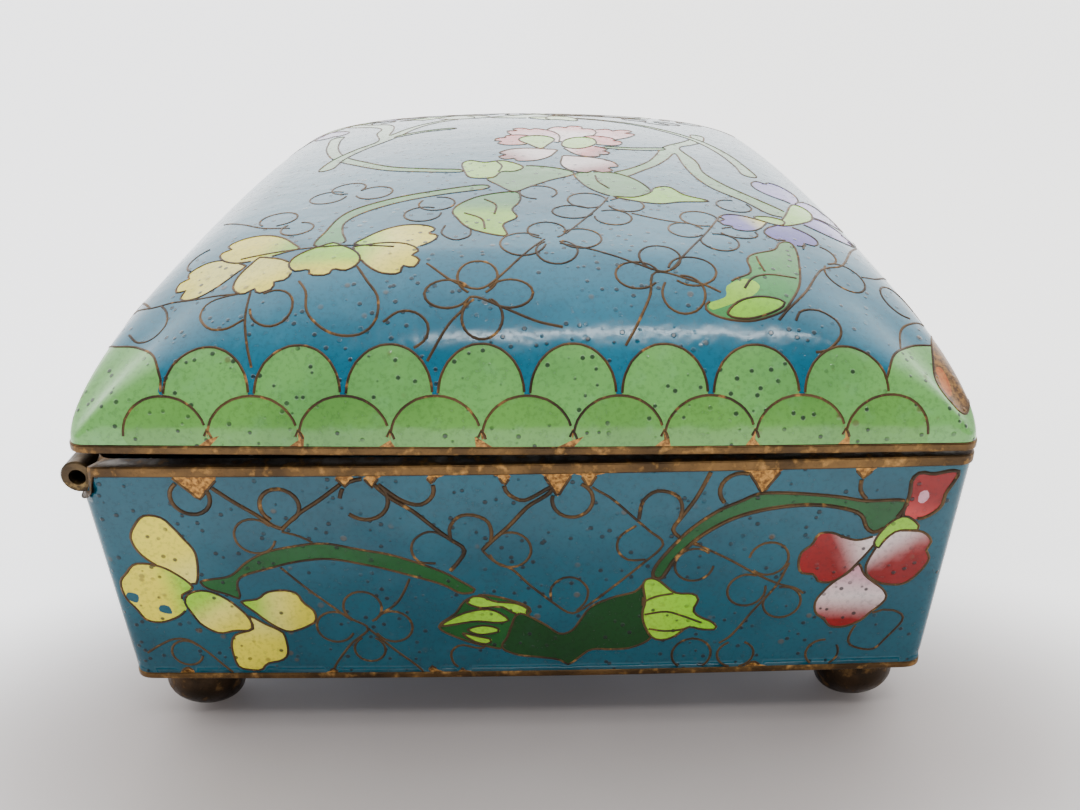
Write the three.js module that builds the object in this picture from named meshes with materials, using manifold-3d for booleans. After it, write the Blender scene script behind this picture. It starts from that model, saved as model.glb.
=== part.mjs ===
// A hinged trinket box in cloisonne enamel on copper: a tray on four brass ball feet, and a
// pillow-shaped lid that turns on a full-length barrel hinge along its back.
// Millimetres, +Z up. The hinge runs along Y at the back (-X); the box opens at the front (+X).
import * as THREE from 'three';
import { mergeVertices } from 'three/addons/utils/BufferGeometryUtils.js';
import Module from 'manifold-3d';

const wasm = await Module();
wasm.setup();

// ---- Driving dimensions
const width = 80;             // across the mouth, hinge to front
const length = 100;           // along the hinge
const endBow = 0.6;           // how far the two ends bulge at mid-width
const sideBow = 0.95;         // how far the back and front bulge at mid-length
const cornerRound = 1.8;      // upright corners, in plan
const ridgeRound = 24;        // the lid's corner ridges, higher up
const ridgeRise = 8;          // inset over which most of the difference comes in
const wall = 1.8;             // copper with enamel on both faces
const gap = 0.3;              // left between soldered pieces

const footHeight = 6.6;       // table to the bottom edge of the tray
const trayHeight = 23.8;      // bottom edge to mouth
const trayTaper = 1.05;       // how far each wall leans in, mouth to bottom
const floorFillet = 1.6;

const mouthBand = 1.0;        // height of the brass band round the tray's mouth
const lidBand = 0.8;          // height of the brass band round the lid
const bottomBand = 0.7;       // height of the brass edge round the tray's bottom
const bandWidth = 1.7;
const bandProud = 0.1;        // the bands stand this far out of the enamel

const shoulderHeight = 11.3;  // lid band to where the flank has turned level
const shoulderWidth = 12.5;   // how far in that is
const shoulderPower = 1.8;    // 2 would be an ellipse; less is softer at the knee
const crown = 6;              // further swell of the lid's top

const backGap = 1.35;         // mouth to lid at the hinge, where the lid sits high
const frontGap = 0.35;        // the same at the front

const barrelRadius = 1.5;
const barrelBore = 0.75;
const pinRadius = 0.68;
const pinSetBack = 1.6;       // the pin ends this far inside the barrel
const barrelInset = 0.9;      // hinge axis, in from the back of the mouth
const barrelDrop = 1.5;       // hinge axis, below the mouth
const barrelLength = 97;
const knuckles = 5;           // tray, lid, tray, lid, tray
const leafThickness = 0.6;
const leafLength = 77;        // clear of the rounded inside corners

const footRadius = 3.85;
const footInsetX = 5.8;       // foot centre to the tray's bottom edge, front and back
const footInsetY = 5.5;       // the same at the two ends
const footFlat = 0.15;        // depth worn off the ball where it stands
const footLean = 0.3;         // the balls are a little askew, with the low side turned inwards
const footNeck = 2;

// ---- Derived places
const mouthZ = footHeight + trayHeight;
const hingeX = -width / 2 + barrelInset;
const hingeZ = mouthZ - barrelDrop;
const lidTilt = Math.atan((backGap - frontGap) / width);
const channelRadius = barrelRadius + gap;
const bodyBottom = footHeight + bottomBand + gap;
const bodyTop = mouthZ - mouthBand - gap;
const overhang = (barrelRadius - barrelInset - bandProud) / 2;

// ---- Plan: a rectangle with bowed sides and rounded corners
const segmentsPerSide = 16;

function softMinimum(a, b, roundness) {
  const blend = Math.max(roundness - Math.abs(a - b), 0);
  return Math.min(a, b) - (blend * blend) / (4 * roundness);
}

// How far (x, y) lies inside the outline of the mouth. Corners get rounder further in, up to
// `innerRound`.
function insetAt(x, y, innerRound) {
  const u = x / (width / 2);
  const v = y / (length / 2);
  const fromSide = width / 2 - sideBow * v * v - Math.abs(x);
  const fromEnd = length / 2 - endBow * u * u - Math.abs(y);
  const nearest = Math.max(softMinimum(fromSide, fromEnd, cornerRound), 0);
  const roundness = THREE.MathUtils.lerp(innerRound, cornerRound, Math.exp(-nearest / ridgeRise));
  return softMinimum(fromSide, fromEnd, roundness);
}

// Directions from the centre, closer together towards the corners.
function directions() {
  const list = [];
  const corners = [[1, -1], [1, 1], [-1, 1], [-1, -1]];
  for (let side = 0; side < 4; side += 1) {
    const from = corners[side];
    const to = corners[(side + 1) % 4];
    for (let step = 0; step < segmentsPerSide; step += 1) {
      const along = 0.5 - 0.5 * Math.cos((Math.PI * step) / segmentsPerSide);
      const x = THREE.MathUtils.lerp(from[0], to[0], along) * (width / 2);
      const y = THREE.MathUtils.lerp(from[1], to[1], along) * (length / 2);
      list.push(new THREE.Vector2(x, y));
    }
  }
  return list;
}

// The closed contour that lies `inset` inside the mouth's outline, at height z.
function contour(inset, z, innerRound = cornerRound) {
  return directions().map((direction) => {
    let inside = 0;
    let outside = 1.2;
    for (let step = 0; step < 40; step += 1) {
      const middle = (inside + outside) / 2;
      const reached = insetAt(direction.x * middle, direction.y * middle, innerRound);
      if (reached > inset) inside = middle;
      else outside = middle;
    }
    return new THREE.Vector3(direction.x * inside, direction.y * inside, z);
  });
}

// ---- Lofts through contours
function geometryFrom(points, triangles) {
  const geometry = new THREE.BufferGeometry();
  const flat = points.flatMap((point) => [point.x, point.y, point.z]);
  geometry.setAttribute('position', new THREE.Float32BufferAttribute(flat, 3));
  geometry.setIndex(triangles);
  geometry.computeVertexNormals();
  return geometry;
}

function strip(triangles, lower, upper, count) {
  for (let i = 0; i < count; i += 1) {
    const j = (i + 1) % count;
    triangles.push(lower + i, lower + j, upper + j, lower + i, upper + j, upper + i);
  }
}

// A closed skin from one pole, through every ring, to another pole.
function loftBetweenPoles(firstPole, rings, lastPole) {
  const count = rings[0].length;
  const points = [firstPole, ...rings.flat(), lastPole];
  const triangles = [];
  const last = points.length - 1;
  for (let i = 0; i < count; i += 1) {
    const j = (i + 1) % count;
    triangles.push(0, 1 + j, 1 + i);
    triangles.push(last, last - count + i, last - count + j);
  }
  for (let ring = 0; ring < rings.length - 1; ring += 1) {
    strip(triangles, 1 + ring * count, 1 + (ring + 1) * count, count);
  }
  return geometryFrom(points, triangles);
}

// A closed band: the rings follow each other round its section.
function loftBand(rings) {
  const count = rings[0].length;
  const triangles = [];
  for (let ring = 0; ring < rings.length; ring += 1) {
    strip(triangles, ring * count, ((ring + 1) % rings.length) * count, count);
  }
  return geometryFrom(rings.flat(), triangles);
}

function bandGeometry(outerInset, bottomZ, topZ) {
  const innerInset = outerInset + bandWidth;
  return loftBand([
    contour(outerInset, bottomZ),
    contour(outerInset, topZ),
    contour(innerInset, topZ),
    contour(innerInset, bottomZ),
  ]);
}

// ---- Solid joins and cuts
function toSolid(geometry, place = new THREE.Matrix4()) {
  const bare = geometry.clone().applyMatrix4(place);
  bare.deleteAttribute('normal');
  bare.deleteAttribute('uv');
  const merged = mergeVertices(bare, 1e-5);
  const vertProperties = new Float32Array(merged.attributes.position.array);
  const triVerts = new Uint32Array(merged.index.array);
  return new wasm.Manifold(new wasm.Mesh({ numProp: 3, vertProperties, triVerts }));
}

function toGeometry(solid) {
  const mesh = solid.getMesh();
  const geometry = new THREE.BufferGeometry();
  geometry.setAttribute('position', new THREE.BufferAttribute(mesh.vertProperties.slice(), 3));
  geometry.setIndex(new THREE.BufferAttribute(mesh.triVerts.slice(), 1));
  geometry.computeVertexNormals();
  return geometry;
}

function rod(radius, from, to, x, z, sides = 20) {
  const place = new THREE.Matrix4().makeTranslation(x, (from + to) / 2, z);
  return toSolid(new THREE.CylinderGeometry(radius, radius, to - from, sides), place);
}

function block(low, high) {
  const size = new THREE.Vector3().subVectors(high, low);
  const middle = new THREE.Vector3().addVectors(low, high).multiplyScalar(0.5);
  const place = new THREE.Matrix4().makeTranslation(middle.x, middle.y, middle.z);
  return toSolid(new THREE.BoxGeometry(size.x, size.y, size.z), place);
}

// The groove along the back of the tray that the hinge barrel lies in, open to the back.
function hingeChannel() {
  const groove = rod(channelRadius, -length, length, hingeX, hingeZ, 28);
  const opening = block(
    new THREE.Vector3(-width, -length, hingeZ),
    new THREE.Vector3(hingeX, length, mouthZ + gap),
  );
  return groove.add(opening);
}

// ---- Lid
function shoulderAt(inset) {
  const left = 1 - THREE.MathUtils.clamp(inset / shoulderWidth, 0, 1);
  return shoulderHeight * (1 - left ** shoulderPower) ** (1 / shoulderPower);
}

// The extra height of the crown above the shoulder.
function crownAt(x, y) {
  const u = x / (width / 2);
  const v = y / (length / 2);
  return crown * (1 - u * u) * (1 - v * v);
}

// The ring of the lid's outer face at `inset`, and the ring a wall's thickness inside it.
function outerRing(inset) {
  const ring = contour(inset, lidBand + shoulderAt(inset), ridgeRound);
  ring.forEach((point) => { point.z += crownAt(point.x, point.y); });
  return ring;
}

function innerRing(inset) {
  const step = 0.01;
  const rise = (shoulderAt(inset + step) - shoulderAt(inset - step)) / (2 * step);
  const slant = Math.hypot(1, rise);
  const height = lidBand + shoulderAt(inset) - wall / slant;
  const ring = contour(inset + (wall * rise) / slant, height, ridgeRound);
  ring.forEach((point) => { point.z += crownAt(point.x, point.y); });
  return ring;
}

function lidShell() {
  const knee = 11;            // rings up the flank and over the knee
  const top = 5;              // rings across the top
  const brim = lidBand + gap;
  const outer = [contour(0, brim)];
  const inner = [contour(wall, brim)];
  for (let step = 1; step <= knee; step += 1) {
    const angle = (Math.PI / 2) * (step / knee);
    const inset = shoulderWidth * (1 - Math.max(Math.cos(angle), 0) ** (2 / shoulderPower));
    outer.push(outerRing(inset));
    inner.push(innerRing(inset));
  }
  for (let step = 1; step < top; step += 1) {
    const ring = outer[knee].map((point) => point.clone().multiplyScalar(1 - step / top));
    ring.forEach((point) => {
      point.z = lidBand + shoulderHeight + crownAt(point.x, point.y);
    });
    outer.push(ring);
    inner.push(ring.map((point) => new THREE.Vector3(point.x, point.y, point.z - wall)));
  }
  const summit = new THREE.Vector3(0, 0, lidBand + shoulderHeight + crown);
  const ceiling = new THREE.Vector3(0, 0, summit.z - wall);
  return loftBetweenPoles(ceiling, [...inner.reverse(), ...outer], summit);
}

// ---- Tray
function trayInset(z) {
  return (trayTaper * (mouthZ - z)) / trayHeight;
}

function trayBody() {
  const floorZ = bodyBottom + wall;
  const rings = [
    contour(trayInset(bodyBottom), bodyBottom),
    contour(trayInset(bodyTop), bodyTop),
    contour(trayInset(bodyTop) + wall, bodyTop),
  ];
  for (let step = 0; step <= 3; step += 1) {
    const angle = (Math.PI / 2) * (step / 3);
    const z = floorZ + floorFillet * (1 - Math.sin(angle));
    const inset = trayInset(z) + wall + floorFillet * (1 - Math.cos(angle));
    rings.push(contour(inset, z));
  }
  const under = new THREE.Vector3(0, 0, bodyBottom);
  const floor = new THREE.Vector3(0, 0, floorZ);
  const skin = loftBetweenPoles(under, rings, floor);
  return toGeometry(toSolid(skin).subtract(hingeChannel()));
}

function mouthRim() {
  const band = toSolid(bandGeometry(-bandProud, mouthZ - mouthBand, mouthZ));
  return toGeometry(band.subtract(hingeChannel()));
}

// ---- Hinge
function knuckleSpans(first) {
  const pitch = barrelLength / knuckles;
  const spans = [];
  for (let i = first; i < knuckles; i += 2) {
    const from = -barrelLength / 2 + i * pitch + (i > 0 ? gap / 2 : 0);
    const to = -barrelLength / 2 + (i + 1) * pitch - (i < knuckles - 1 ? gap / 2 : 0);
    spans.push([from, to]);
  }
  return spans;
}

function hingeHalf(spans, tab, leaf) {
  const barrels = spans.map(([from, to]) => rod(barrelRadius, from, to, hingeX, hingeZ));
  const inside = spans.map(([from, to]) => [
    Math.max(from, -leafLength / 2),
    Math.min(to, leafLength / 2),
  ]);
  const tabs = inside.map(([from, to]) => block(
    new THREE.Vector3(hingeX + tab.x[0], from, hingeZ + tab.z[0]),
    new THREE.Vector3(hingeX + tab.x[1], to, hingeZ + tab.z[1]),
  ));
  const plate = block(
    new THREE.Vector3(hingeX + leaf.x[0], inside[0][0], hingeZ + leaf.z[0]),
    new THREE.Vector3(hingeX + leaf.x[1], inside[inside.length - 1][1], hingeZ + leaf.z[1]),
  );
  const joined = [...barrels, ...tabs, plate].reduce((all, piece) => all.add(piece));
  return toGeometry(joined.subtract(rod(barrelBore, -length, length, hingeX, hingeZ)));
}

// Barrels in the channel, held by a leaf soldered inside the tray's back wall.
function trayHinge() {
  const leafX = [2.3, 2.3 + leafThickness];
  return hingeHalf(
    knuckleSpans(0),
    { x: [1.1, leafX[1]], z: [-0.5, 0.4] },
    { x: leafX, z: [-4.6, -0.4] },
  );
}

// Barrels between them, under a tab that turns up as a leaf inside the lid's back wall.
function lidHinge() {
  const underBand = barrelDrop + backGap - gap;
  const leafX = [2, 2 + leafThickness];
  return hingeHalf(
    knuckleSpans(1),
    { x: [-0.8, leafX[1]], z: [0.75, underBand] },
    { x: leafX, z: [underBand - leafThickness, underBand + 2.5] },
  );
}

// ---- Feet
function ballFoot(inwardX, inwardY) {
  const centreZ = footRadius - footFlat;
  const start = Math.acos(centreZ / footRadius);
  const finish = Math.PI - Math.asin(footNeck / footRadius);
  const profile = [new THREE.Vector2(0, 0)];
  const steps = 9;
  for (let step = 0; step <= steps; step += 1) {
    const angle = THREE.MathUtils.lerp(start, finish, step / steps);
    const height = centreZ - footRadius * Math.cos(angle);
    profile.push(new THREE.Vector2(footRadius * Math.sin(angle), height));
  }
  profile.push(new THREE.Vector2(footNeck, bodyBottom - gap));
  profile.push(new THREE.Vector2(0, bodyBottom - gap));
  const geometry = new THREE.LatheGeometry(profile, 24);
  geometry.rotateX(Math.PI / 2);
  const position = geometry.attributes.position;
  for (let i = 0; i < position.count; i += 1) {
    const drop = Math.max(centreZ - position.getZ(i), 0);
    const shift = (footLean * drop * drop) / footRadius;
    position.setX(i, position.getX(i) + inwardX * shift);
    position.setY(i, position.getY(i) + inwardY * shift);
  }
  return toGeometry(toSolid(geometry));
}

// ---- Finishes
const finishes = {
  enamel: { color: 0x3f8fa8, roughness: 0.25, metalness: 0.0 },
  band: { color: 0x8a6a3a, roughness: 0.4, metalness: 1.0 },
  hinge: { color: 0x5e4a34, roughness: 0.5, metalness: 1.0 },
  foot: { color: 0x4a3b28, roughness: 0.45, metalness: 1.0 },
};

function piece(name, geometry, finish) {
  const mesh = new THREE.Mesh(geometry, new THREE.MeshStandardMaterial(finishes[finish]));
  mesh.name = name;
  return mesh;
}

// ---- Assembly
const box = new THREE.Group();

const tray = new THREE.Group();
tray.add(piece('tray_body', trayBody(), 'enamel'));
tray.add(piece('tray_mouth_band', mouthRim(), 'band'));
const bottomInset = trayTaper - bandProud;
const bottomEdge = bandGeometry(bottomInset, footHeight, footHeight + bottomBand);
tray.add(piece('tray_bottom_band', bottomEdge, 'band'));
tray.add(piece('tray_hinge', trayHinge(), 'hinge'));
const pinHalf = barrelLength / 2 - pinSetBack;
tray.add(piece('hinge_pin', toGeometry(rod(pinRadius, -pinHalf, pinHalf, hingeX, hingeZ)), 'hinge'));

const footX = width / 2 - trayTaper - footInsetX;
const footY = length / 2 - trayTaper - footInsetY;
for (const [sideName, sideX] of [['back', -1], ['front', 1]]) {
  for (const [endName, endY] of [['near', -1], ['far', 1]]) {
    const foot = piece(`foot_${sideName}_${endName}`, ballFoot(-sideX, -endY), 'foot');
    foot.position.set(sideX * footX, endY * footY, 0);
    tray.add(foot);
  }
}
box.add(tray);

// The lid turns about the hinge axis; closed, it leans down to the front.
const lid = new THREE.Group();
lid.position.set(hingeX, 0, hingeZ);
lid.rotation.y = lidTilt;
const shell = piece('lid_shell', lidShell(), 'enamel');
const rim = piece('lid_band', bandGeometry(-bandProud, 0, lidBand), 'band');
for (const part of [shell, rim]) {
  part.position.set(-hingeX, 0, mouthZ + backGap - hingeZ);
  lid.add(part);
}
const leaf = piece('lid_hinge', lidHinge(), 'hinge');
leaf.position.set(-hingeX, 0, -hingeZ);
lid.add(leaf);
box.add(lid);

// The barrel stands out at the back, so the box's middle is a little forward of the axes.
box.position.x = overhang;

export default box;
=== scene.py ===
# %% [markdown]
# # A footed cloisonne enamel box
#
# The real thing is a copper box about four inches long. Thin brass wires are bent into outlines and
# soldered to the copper, the cells between them are filled with ground coloured glass, and the whole
# is fired and polished flush. This lesson dresses its plain solid model: the hollow tray and lid get
# their inlaid skins, and the bands, hinge and feet get their toned brass.
#
# We start with the tools and the solid model, which stays as it is and tells every new piece where it
# belongs. Its box is kept.

# %% Load the solid model
import math
import bmesh
import bpy
import numpy as np
from mathutils import Matrix, Vector
from mathutils.geometry import delaunay_2d_cdt
from mathutils.kdtree import KDTree


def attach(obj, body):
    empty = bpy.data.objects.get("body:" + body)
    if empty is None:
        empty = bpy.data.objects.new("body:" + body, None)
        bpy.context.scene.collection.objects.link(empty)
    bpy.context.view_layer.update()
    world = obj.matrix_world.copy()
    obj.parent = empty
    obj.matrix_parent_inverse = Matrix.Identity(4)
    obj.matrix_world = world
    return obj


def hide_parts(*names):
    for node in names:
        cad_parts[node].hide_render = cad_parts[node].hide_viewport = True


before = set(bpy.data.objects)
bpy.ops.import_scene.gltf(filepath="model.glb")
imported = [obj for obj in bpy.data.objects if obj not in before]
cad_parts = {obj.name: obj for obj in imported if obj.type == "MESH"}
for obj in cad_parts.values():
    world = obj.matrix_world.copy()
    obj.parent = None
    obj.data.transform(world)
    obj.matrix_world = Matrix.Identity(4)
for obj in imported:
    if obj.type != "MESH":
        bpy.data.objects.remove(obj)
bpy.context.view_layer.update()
MM = 0.001

# %% [markdown]
# ## The sizes
#
# The sizes are those of the solid model, in millimetres. The outline of the mouth is a rectangle whose
# sides bow a little and whose corners are round. The lid rises from it over a soft shoulder and swells
# in the middle like a small pillow.

# %% Sizes in millimetres
WIDTH, LENGTH = 80.0, 100.0            # across, and along the hinge
SIDE_BOW, END_BOW = 0.95, 0.6
CORNER_ROUND, RIDGE_ROUND, RIDGE_RISE = 1.8, 24.0, 8.0
WALL = 1.8
FOOT_HEIGHT, TRAY_HEIGHT, TRAY_TAPER, FLOOR_FILLET = 6.6, 23.8, 1.05, 1.6
MOUTH_BAND, LID_BAND, BOTTOM_BAND, BAND_PROUD, BAND_WIDTH = 1.0, 0.8, 0.7, 0.1, 1.7
SHOULDER_HEIGHT, SHOULDER_WIDTH, SHOULDER_POWER, CROWN = 11.3, 12.5, 1.8, 6.0
BACK_GAP, FRONT_GAP = 1.35, 0.35       # between mouth and lid
BARREL_RADIUS, BARREL_BORE, BARREL_INSET, BARREL_DROP, BARREL_LENGTH = 1.5, 0.75, 0.9, 1.5, 97.0
JOIN = 0.02                            # left between pieces that touch

MOUTH_Z = FOOT_HEIGHT + TRAY_HEIGHT
HINGE_X, HINGE_Z = -WIDTH / 2 + BARREL_INSET, MOUTH_Z - BARREL_DROP
LID_TILT = math.atan((BACK_GAP - FRONT_GAP) / WIDTH)
OVERHANG = (BARREL_RADIUS - BARREL_INSET - BAND_PROUD) / 2
print("mouth", MOUTH_Z, "mm above the table; hinge axis at", (round(HINGE_X, 2), round(HINGE_Z, 2)))

# %% [markdown]
# ## The outline
#
# `inset_at` says how far a point lies inside the outline of the mouth, seen from above. The smaller of
# the distances to two neighbouring sides would give sharp corners, so the two are blended where they
# are nearly equal. Lines of equal inset are the rings that the walls and the lid are drawn through.

# %% Distance inside the outline
def soft_minimum(a, b, roundness):
    blend = np.maximum(roundness - np.abs(a - b), 0)
    return np.minimum(a, b) - blend ** 2 / (4 * roundness)


def inset_at(x, y, inner_round=CORNER_ROUND):
    u, v = x / (WIDTH / 2), y / (LENGTH / 2)
    from_side = WIDTH / 2 - SIDE_BOW * v * v - np.abs(x)
    from_end = LENGTH / 2 - END_BOW * u * u - np.abs(y)
    nearest = np.maximum(soft_minimum(from_side, from_end, CORNER_ROUND), 0)
    roundness = inner_round + (CORNER_ROUND - inner_round) * np.exp(-nearest / RIDGE_RISE)
    return soft_minimum(from_side, from_end, roundness)


def directions(per_side):
    """Directions from the centre round a rectangle, closer together towards its corners."""
    corners = np.array([(1, -1), (1, 1), (-1, 1), (-1, -1), (1, -1)])
    along = 0.5 - 0.5 * np.cos(np.pi * np.arange(per_side) / per_side)
    rays = [a + (b - a) * t for a, b in zip(corners, corners[1:]) for t in along]
    return np.array(rays) * (WIDTH / 2, LENGTH / 2)


def ring(inset, inner_round=CORNER_ROUND, per_side=90):
    """The closed line of points that lie `inset` inside the outline."""
    rays = directions(per_side)
    low, high = np.zeros(len(rays)), np.full(len(rays), 1.2)
    for _ in range(40):
        middle = (low + high) / 2
        deeper = inset_at(rays[:, 0] * middle, rays[:, 1] * middle, inner_round) > inset
        low, high = np.where(deeper, middle, low), np.where(deeper, high, middle)
    return rays * low[:, None]


outline = ring(0)
print("outline", np.ptp(outline, axis=0).round(1), "mm,", len(outline), "points")

# %% [markdown]
# ## The lid as a flat sheet
#
# A pattern is drawn most easily on a flat sheet. `lid_plan` takes a point on that sheet to its place
# seen from above. Across the top the two are the same. Over the shoulder the sheet measures the way up
# the curve, so that the steep flank isn't squeezed to nothing. `lid_surface` then lifts the point, and
# `lid_place` moves the lid from its own brim to where it rests, leaning a little to the front.

# %% From the flat sheet to the lid
def shoulder(inset):
    left = 1 - np.clip(inset / SHOULDER_WIDTH, 0, 1)
    return SHOULDER_HEIGHT * np.maximum(1 - left ** SHOULDER_POWER, 0) ** (1 / SHOULDER_POWER)


turns = np.linspace(0, np.pi / 2, 3000)
curve_inset = SHOULDER_WIDTH * (1 - np.maximum(np.cos(turns), 0) ** (2 / SHOULDER_POWER))
curve_steps = np.hypot(np.diff(curve_inset), np.diff(shoulder(curve_inset)))
curve_length = np.concatenate([[0], np.cumsum(curve_steps)])
FLANK = float(curve_length[-1])        # way up from the brim to where the top begins
SHEET = np.array([WIDTH / 2, LENGTH / 2]) + FLANK - SHOULDER_WIDTH


def inset_of_way(way):
    return np.where(way < FLANK, np.interp(way, curve_length, curve_inset), way - FLANK + SHOULDER_WIDTH)


def way_of_inset(inset):
    beyond = inset - SHOULDER_WIDTH + FLANK
    return np.where(inset < SHOULDER_WIDTH, np.interp(inset, curve_inset, curve_length), beyond)


def lid_plan(sheet):
    flat = np.array([WIDTH / 2, LENGTH / 2]) - inset_of_way(SHEET - np.abs(sheet))
    straight = np.sign(sheet) * flat
    x, y = straight[..., 0], straight[..., 1]
    for _ in range(3):
        bowed_x = straight[..., 0] * (1 - SIDE_BOW * (y / (LENGTH / 2)) ** 2 / (WIDTH / 2))
        y = straight[..., 1] * (1 - END_BOW * (x / (WIDTH / 2)) ** 2 / (LENGTH / 2))
        x = bowed_x
    return np.stack([x, y], -1)


def lid_sheet(plan):
    x, y = plan[..., 0], plan[..., 1]
    from_side = WIDTH / 2 - np.abs(x) / (1 - SIDE_BOW * (y / (LENGTH / 2)) ** 2 / (WIDTH / 2))
    from_end = LENGTH / 2 - np.abs(y) / (1 - END_BOW * (x / (WIDTH / 2)) ** 2 / (LENGTH / 2))
    insets = np.maximum(np.stack([from_side, from_end], -1), 0)
    return np.sign(plan) * (SHEET - way_of_inset(insets))


def crown(x, y):
    return CROWN * (1 - (x / (WIDTH / 2)) ** 2) * (1 - (y / (LENGTH / 2)) ** 2)


def lid_surface(sheet):
    plan = lid_plan(sheet)
    x, y = plan[..., 0], plan[..., 1]
    rise = shoulder(np.maximum(inset_at(x, y, RIDGE_ROUND), 0)) + crown(x, y)
    return np.stack([x, y, LID_BAND + JOIN + rise], -1)


def lid_place(points):
    """From the lid's own brim to its place on the tray, in millimetres."""
    x, z = points[..., 0] - HINGE_X, points[..., 2] + MOUTH_Z + BACK_GAP - HINGE_Z
    turn_x = x * math.cos(LID_TILT) + z * math.sin(LID_TILT)
    turn_z = z * math.cos(LID_TILT) - x * math.sin(LID_TILT)
    return np.stack([turn_x + HINGE_X + OVERHANG, points[..., 1], turn_z + HINGE_Z], -1)


def facing(surface, sheet, step=0.04):
    """Unit normals of a surface, from two short steps towards the middle of its sheet."""
    here = surface(sheet)
    signs = np.where(sheet > 0, 1.0, -1.0)
    along = here - surface(sheet - signs * (step, 0))
    up = here - surface(sheet - signs * (0, step))
    normal = np.cross(along, up) * (signs[..., :1] * signs[..., 1:])
    return normal / np.maximum(np.linalg.norm(normal, axis=-1, keepdims=True), 1e-12)


print("sheet", (SHEET * 2).round(1), "mm, of which the flanks are", round(FLANK, 1), "mm wide")

# %% [markdown]
# ## The tray's walls as a flat strip
#
# The four walls are one strip: its first measure runs round the box from the middle of the back, and
# its second is the height. Walls lean in a little towards the bottom. The strip isn't cut at a corner,
# because a wire may run round it.

# %% From the flat strip to the walls
def turn_to_back(points):
    """The same ring, starting at the middle of the back wall (-X)."""
    start = int(np.argmin(points[:, 0] + 1e-3 * np.abs(points[:, 1])))
    return np.roll(points, -start, axis=0)


mouth_line = turn_to_back(ring(0))
mouth_line = np.vstack([mouth_line, mouth_line[:1]])
mouth_way = np.concatenate([[0], np.cumsum(np.hypot(*np.diff(mouth_line, axis=0).T))])
ROUND = float(mouth_way[-1])


def wall_inset(z):
    return TRAY_TAPER * (MOUTH_Z - z) / TRAY_HEIGHT


def wall_surface(strip, deeper=0.0):
    way, z = strip[..., 0] % ROUND, strip[..., 1]
    base = np.stack([np.interp(way, mouth_way, mouth_line[:, i]) for i in (0, 1)], -1)
    target = wall_inset(z) + deeper
    low, high = np.zeros(way.shape), np.full(way.shape, 1.2)
    for _ in range(30):
        middle = (low + high) / 2
        inner = inset_at(base[..., 0] * middle, base[..., 1] * middle) > target
        low, high = np.where(inner, middle, low), np.where(inner, high, middle)
    return np.stack([base[..., 0] * low, base[..., 1] * low, z], -1)


def tray_place(points):
    return points + (OVERHANG, 0, 0)


def way_at(x, y):
    """How far round the strip a point of the outline lies."""
    return float(mouth_way[np.argmin(np.hypot(mouth_line[:, 0] - x, mouth_line[:, 1] - y))])


NEAR_MIDDLE = way_at(0, -LENGTH / 2)
FRONT_MIDDLE = way_at(WIDTH / 2, 0)
FAR_MIDDLE = way_at(0, LENGTH / 2)
print("strip", round(ROUND, 1), "mm round; middles at",
      [round(v, 1) for v in (NEAR_MIDDLE, FRONT_MIDDLE, FAR_MIDDLE)])

# %% [markdown]
# ## The drawing tools
#
# The wires of the real box are bent by hand, so their lines are smooth curves through a few points. A
# cell is a closed line with a colour inside. A petal is drawn from its base to its lobed tip; a loop is
# a circle that a wire nearly closes; a blossom is four loops round a crossing. Each drawing goes into
# an `Inlay`, which keeps the cells in the order they are laid. A later cell lies on top, and hides
# the wires laid before it.

# %% Smooth lines, petals, loops and blossoms
def smooth(points, closed=False, step=0.3):
    """A Catmull-Rom curve through the points, in steps of about `step`."""
    points = np.array(points, float)
    ends = (points[-1:], points[:2]) if closed else (points[:1], points[-1:])
    padded = np.vstack([ends[0], points, ends[1]])
    if not closed:
        padded = np.vstack([2 * padded[1] - padded[2], padded[1:-1], 2 * padded[-2] - padded[-3]])
    line = []
    for a, b, c, d in zip(padded, padded[1:], padded[2:], padded[3:]):
        count = max(2, int(np.hypot(*(c - b)) / step))
        t = (np.arange(count) / count)[:, None]
        line.append(0.5 * (2 * b + (c - a) * t + (2 * a - 5 * b + 4 * c - d) * t ** 2
                           + (3 * b - a - 3 * c + d) * t ** 3))
    if not closed:
        line.append(points[-1:])
    return np.vstack(line)


def petal(base, tip, width, lobes=3, notch=0.34):
    """A closed petal: narrow at its base, broad and lobed at its tip."""
    base, tip = np.array(base, float), np.array(tip, float)
    along = tip - base
    across = np.array([-along[1], along[0]]) / np.hypot(*along) * width / 2
    angles = np.linspace(-np.pi / 2, np.pi / 2, 8 * lobes + 1)
    dents = [(i / lobes - 0.5) * np.pi for i in range(1, lobes)]
    reach = 1 - notch * sum(np.exp(-((angles - dent) / 0.16) ** 2) for dent in dents)
    end = [(0.6 + 0.4 * r * math.cos(a), r * math.sin(a)) for a, r in zip(angles, reach)]
    sides = [(0.0, 0.0), (0.1, -0.26), (0.28, -0.68), (0.45, -0.92)]
    shape = sides + end + [(t, -s) for t, s in sides[:0:-1]]
    return smooth([base + along * t + across * s for t, s in shape], closed=True, step=0.45)


def loop(centre, radius, opening=90, gap=50, stretch=1.0):
    """A wire bent nearly to a circle, open towards `opening` degrees."""
    angles = np.radians(np.linspace(opening + gap / 2, opening + 360 - gap / 2, 15))
    return np.array(centre) + radius * np.stack([stretch * np.cos(angles), np.sin(angles)], -1)


def blossom(centre, radius=1.8, turn=45, spread=1.35, gap=70):
    """Four loops round a crossing, each open towards it."""
    loops = []
    for quarter in range(4):
        angle = math.radians(turn + 90 * quarter)
        place = np.array(centre) + radius * spread * np.array([math.cos(angle), math.sin(angle)])
        loops.append(loop(place, radius, opening=math.degrees(angle) + 180, gap=gap))
    return loops


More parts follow.
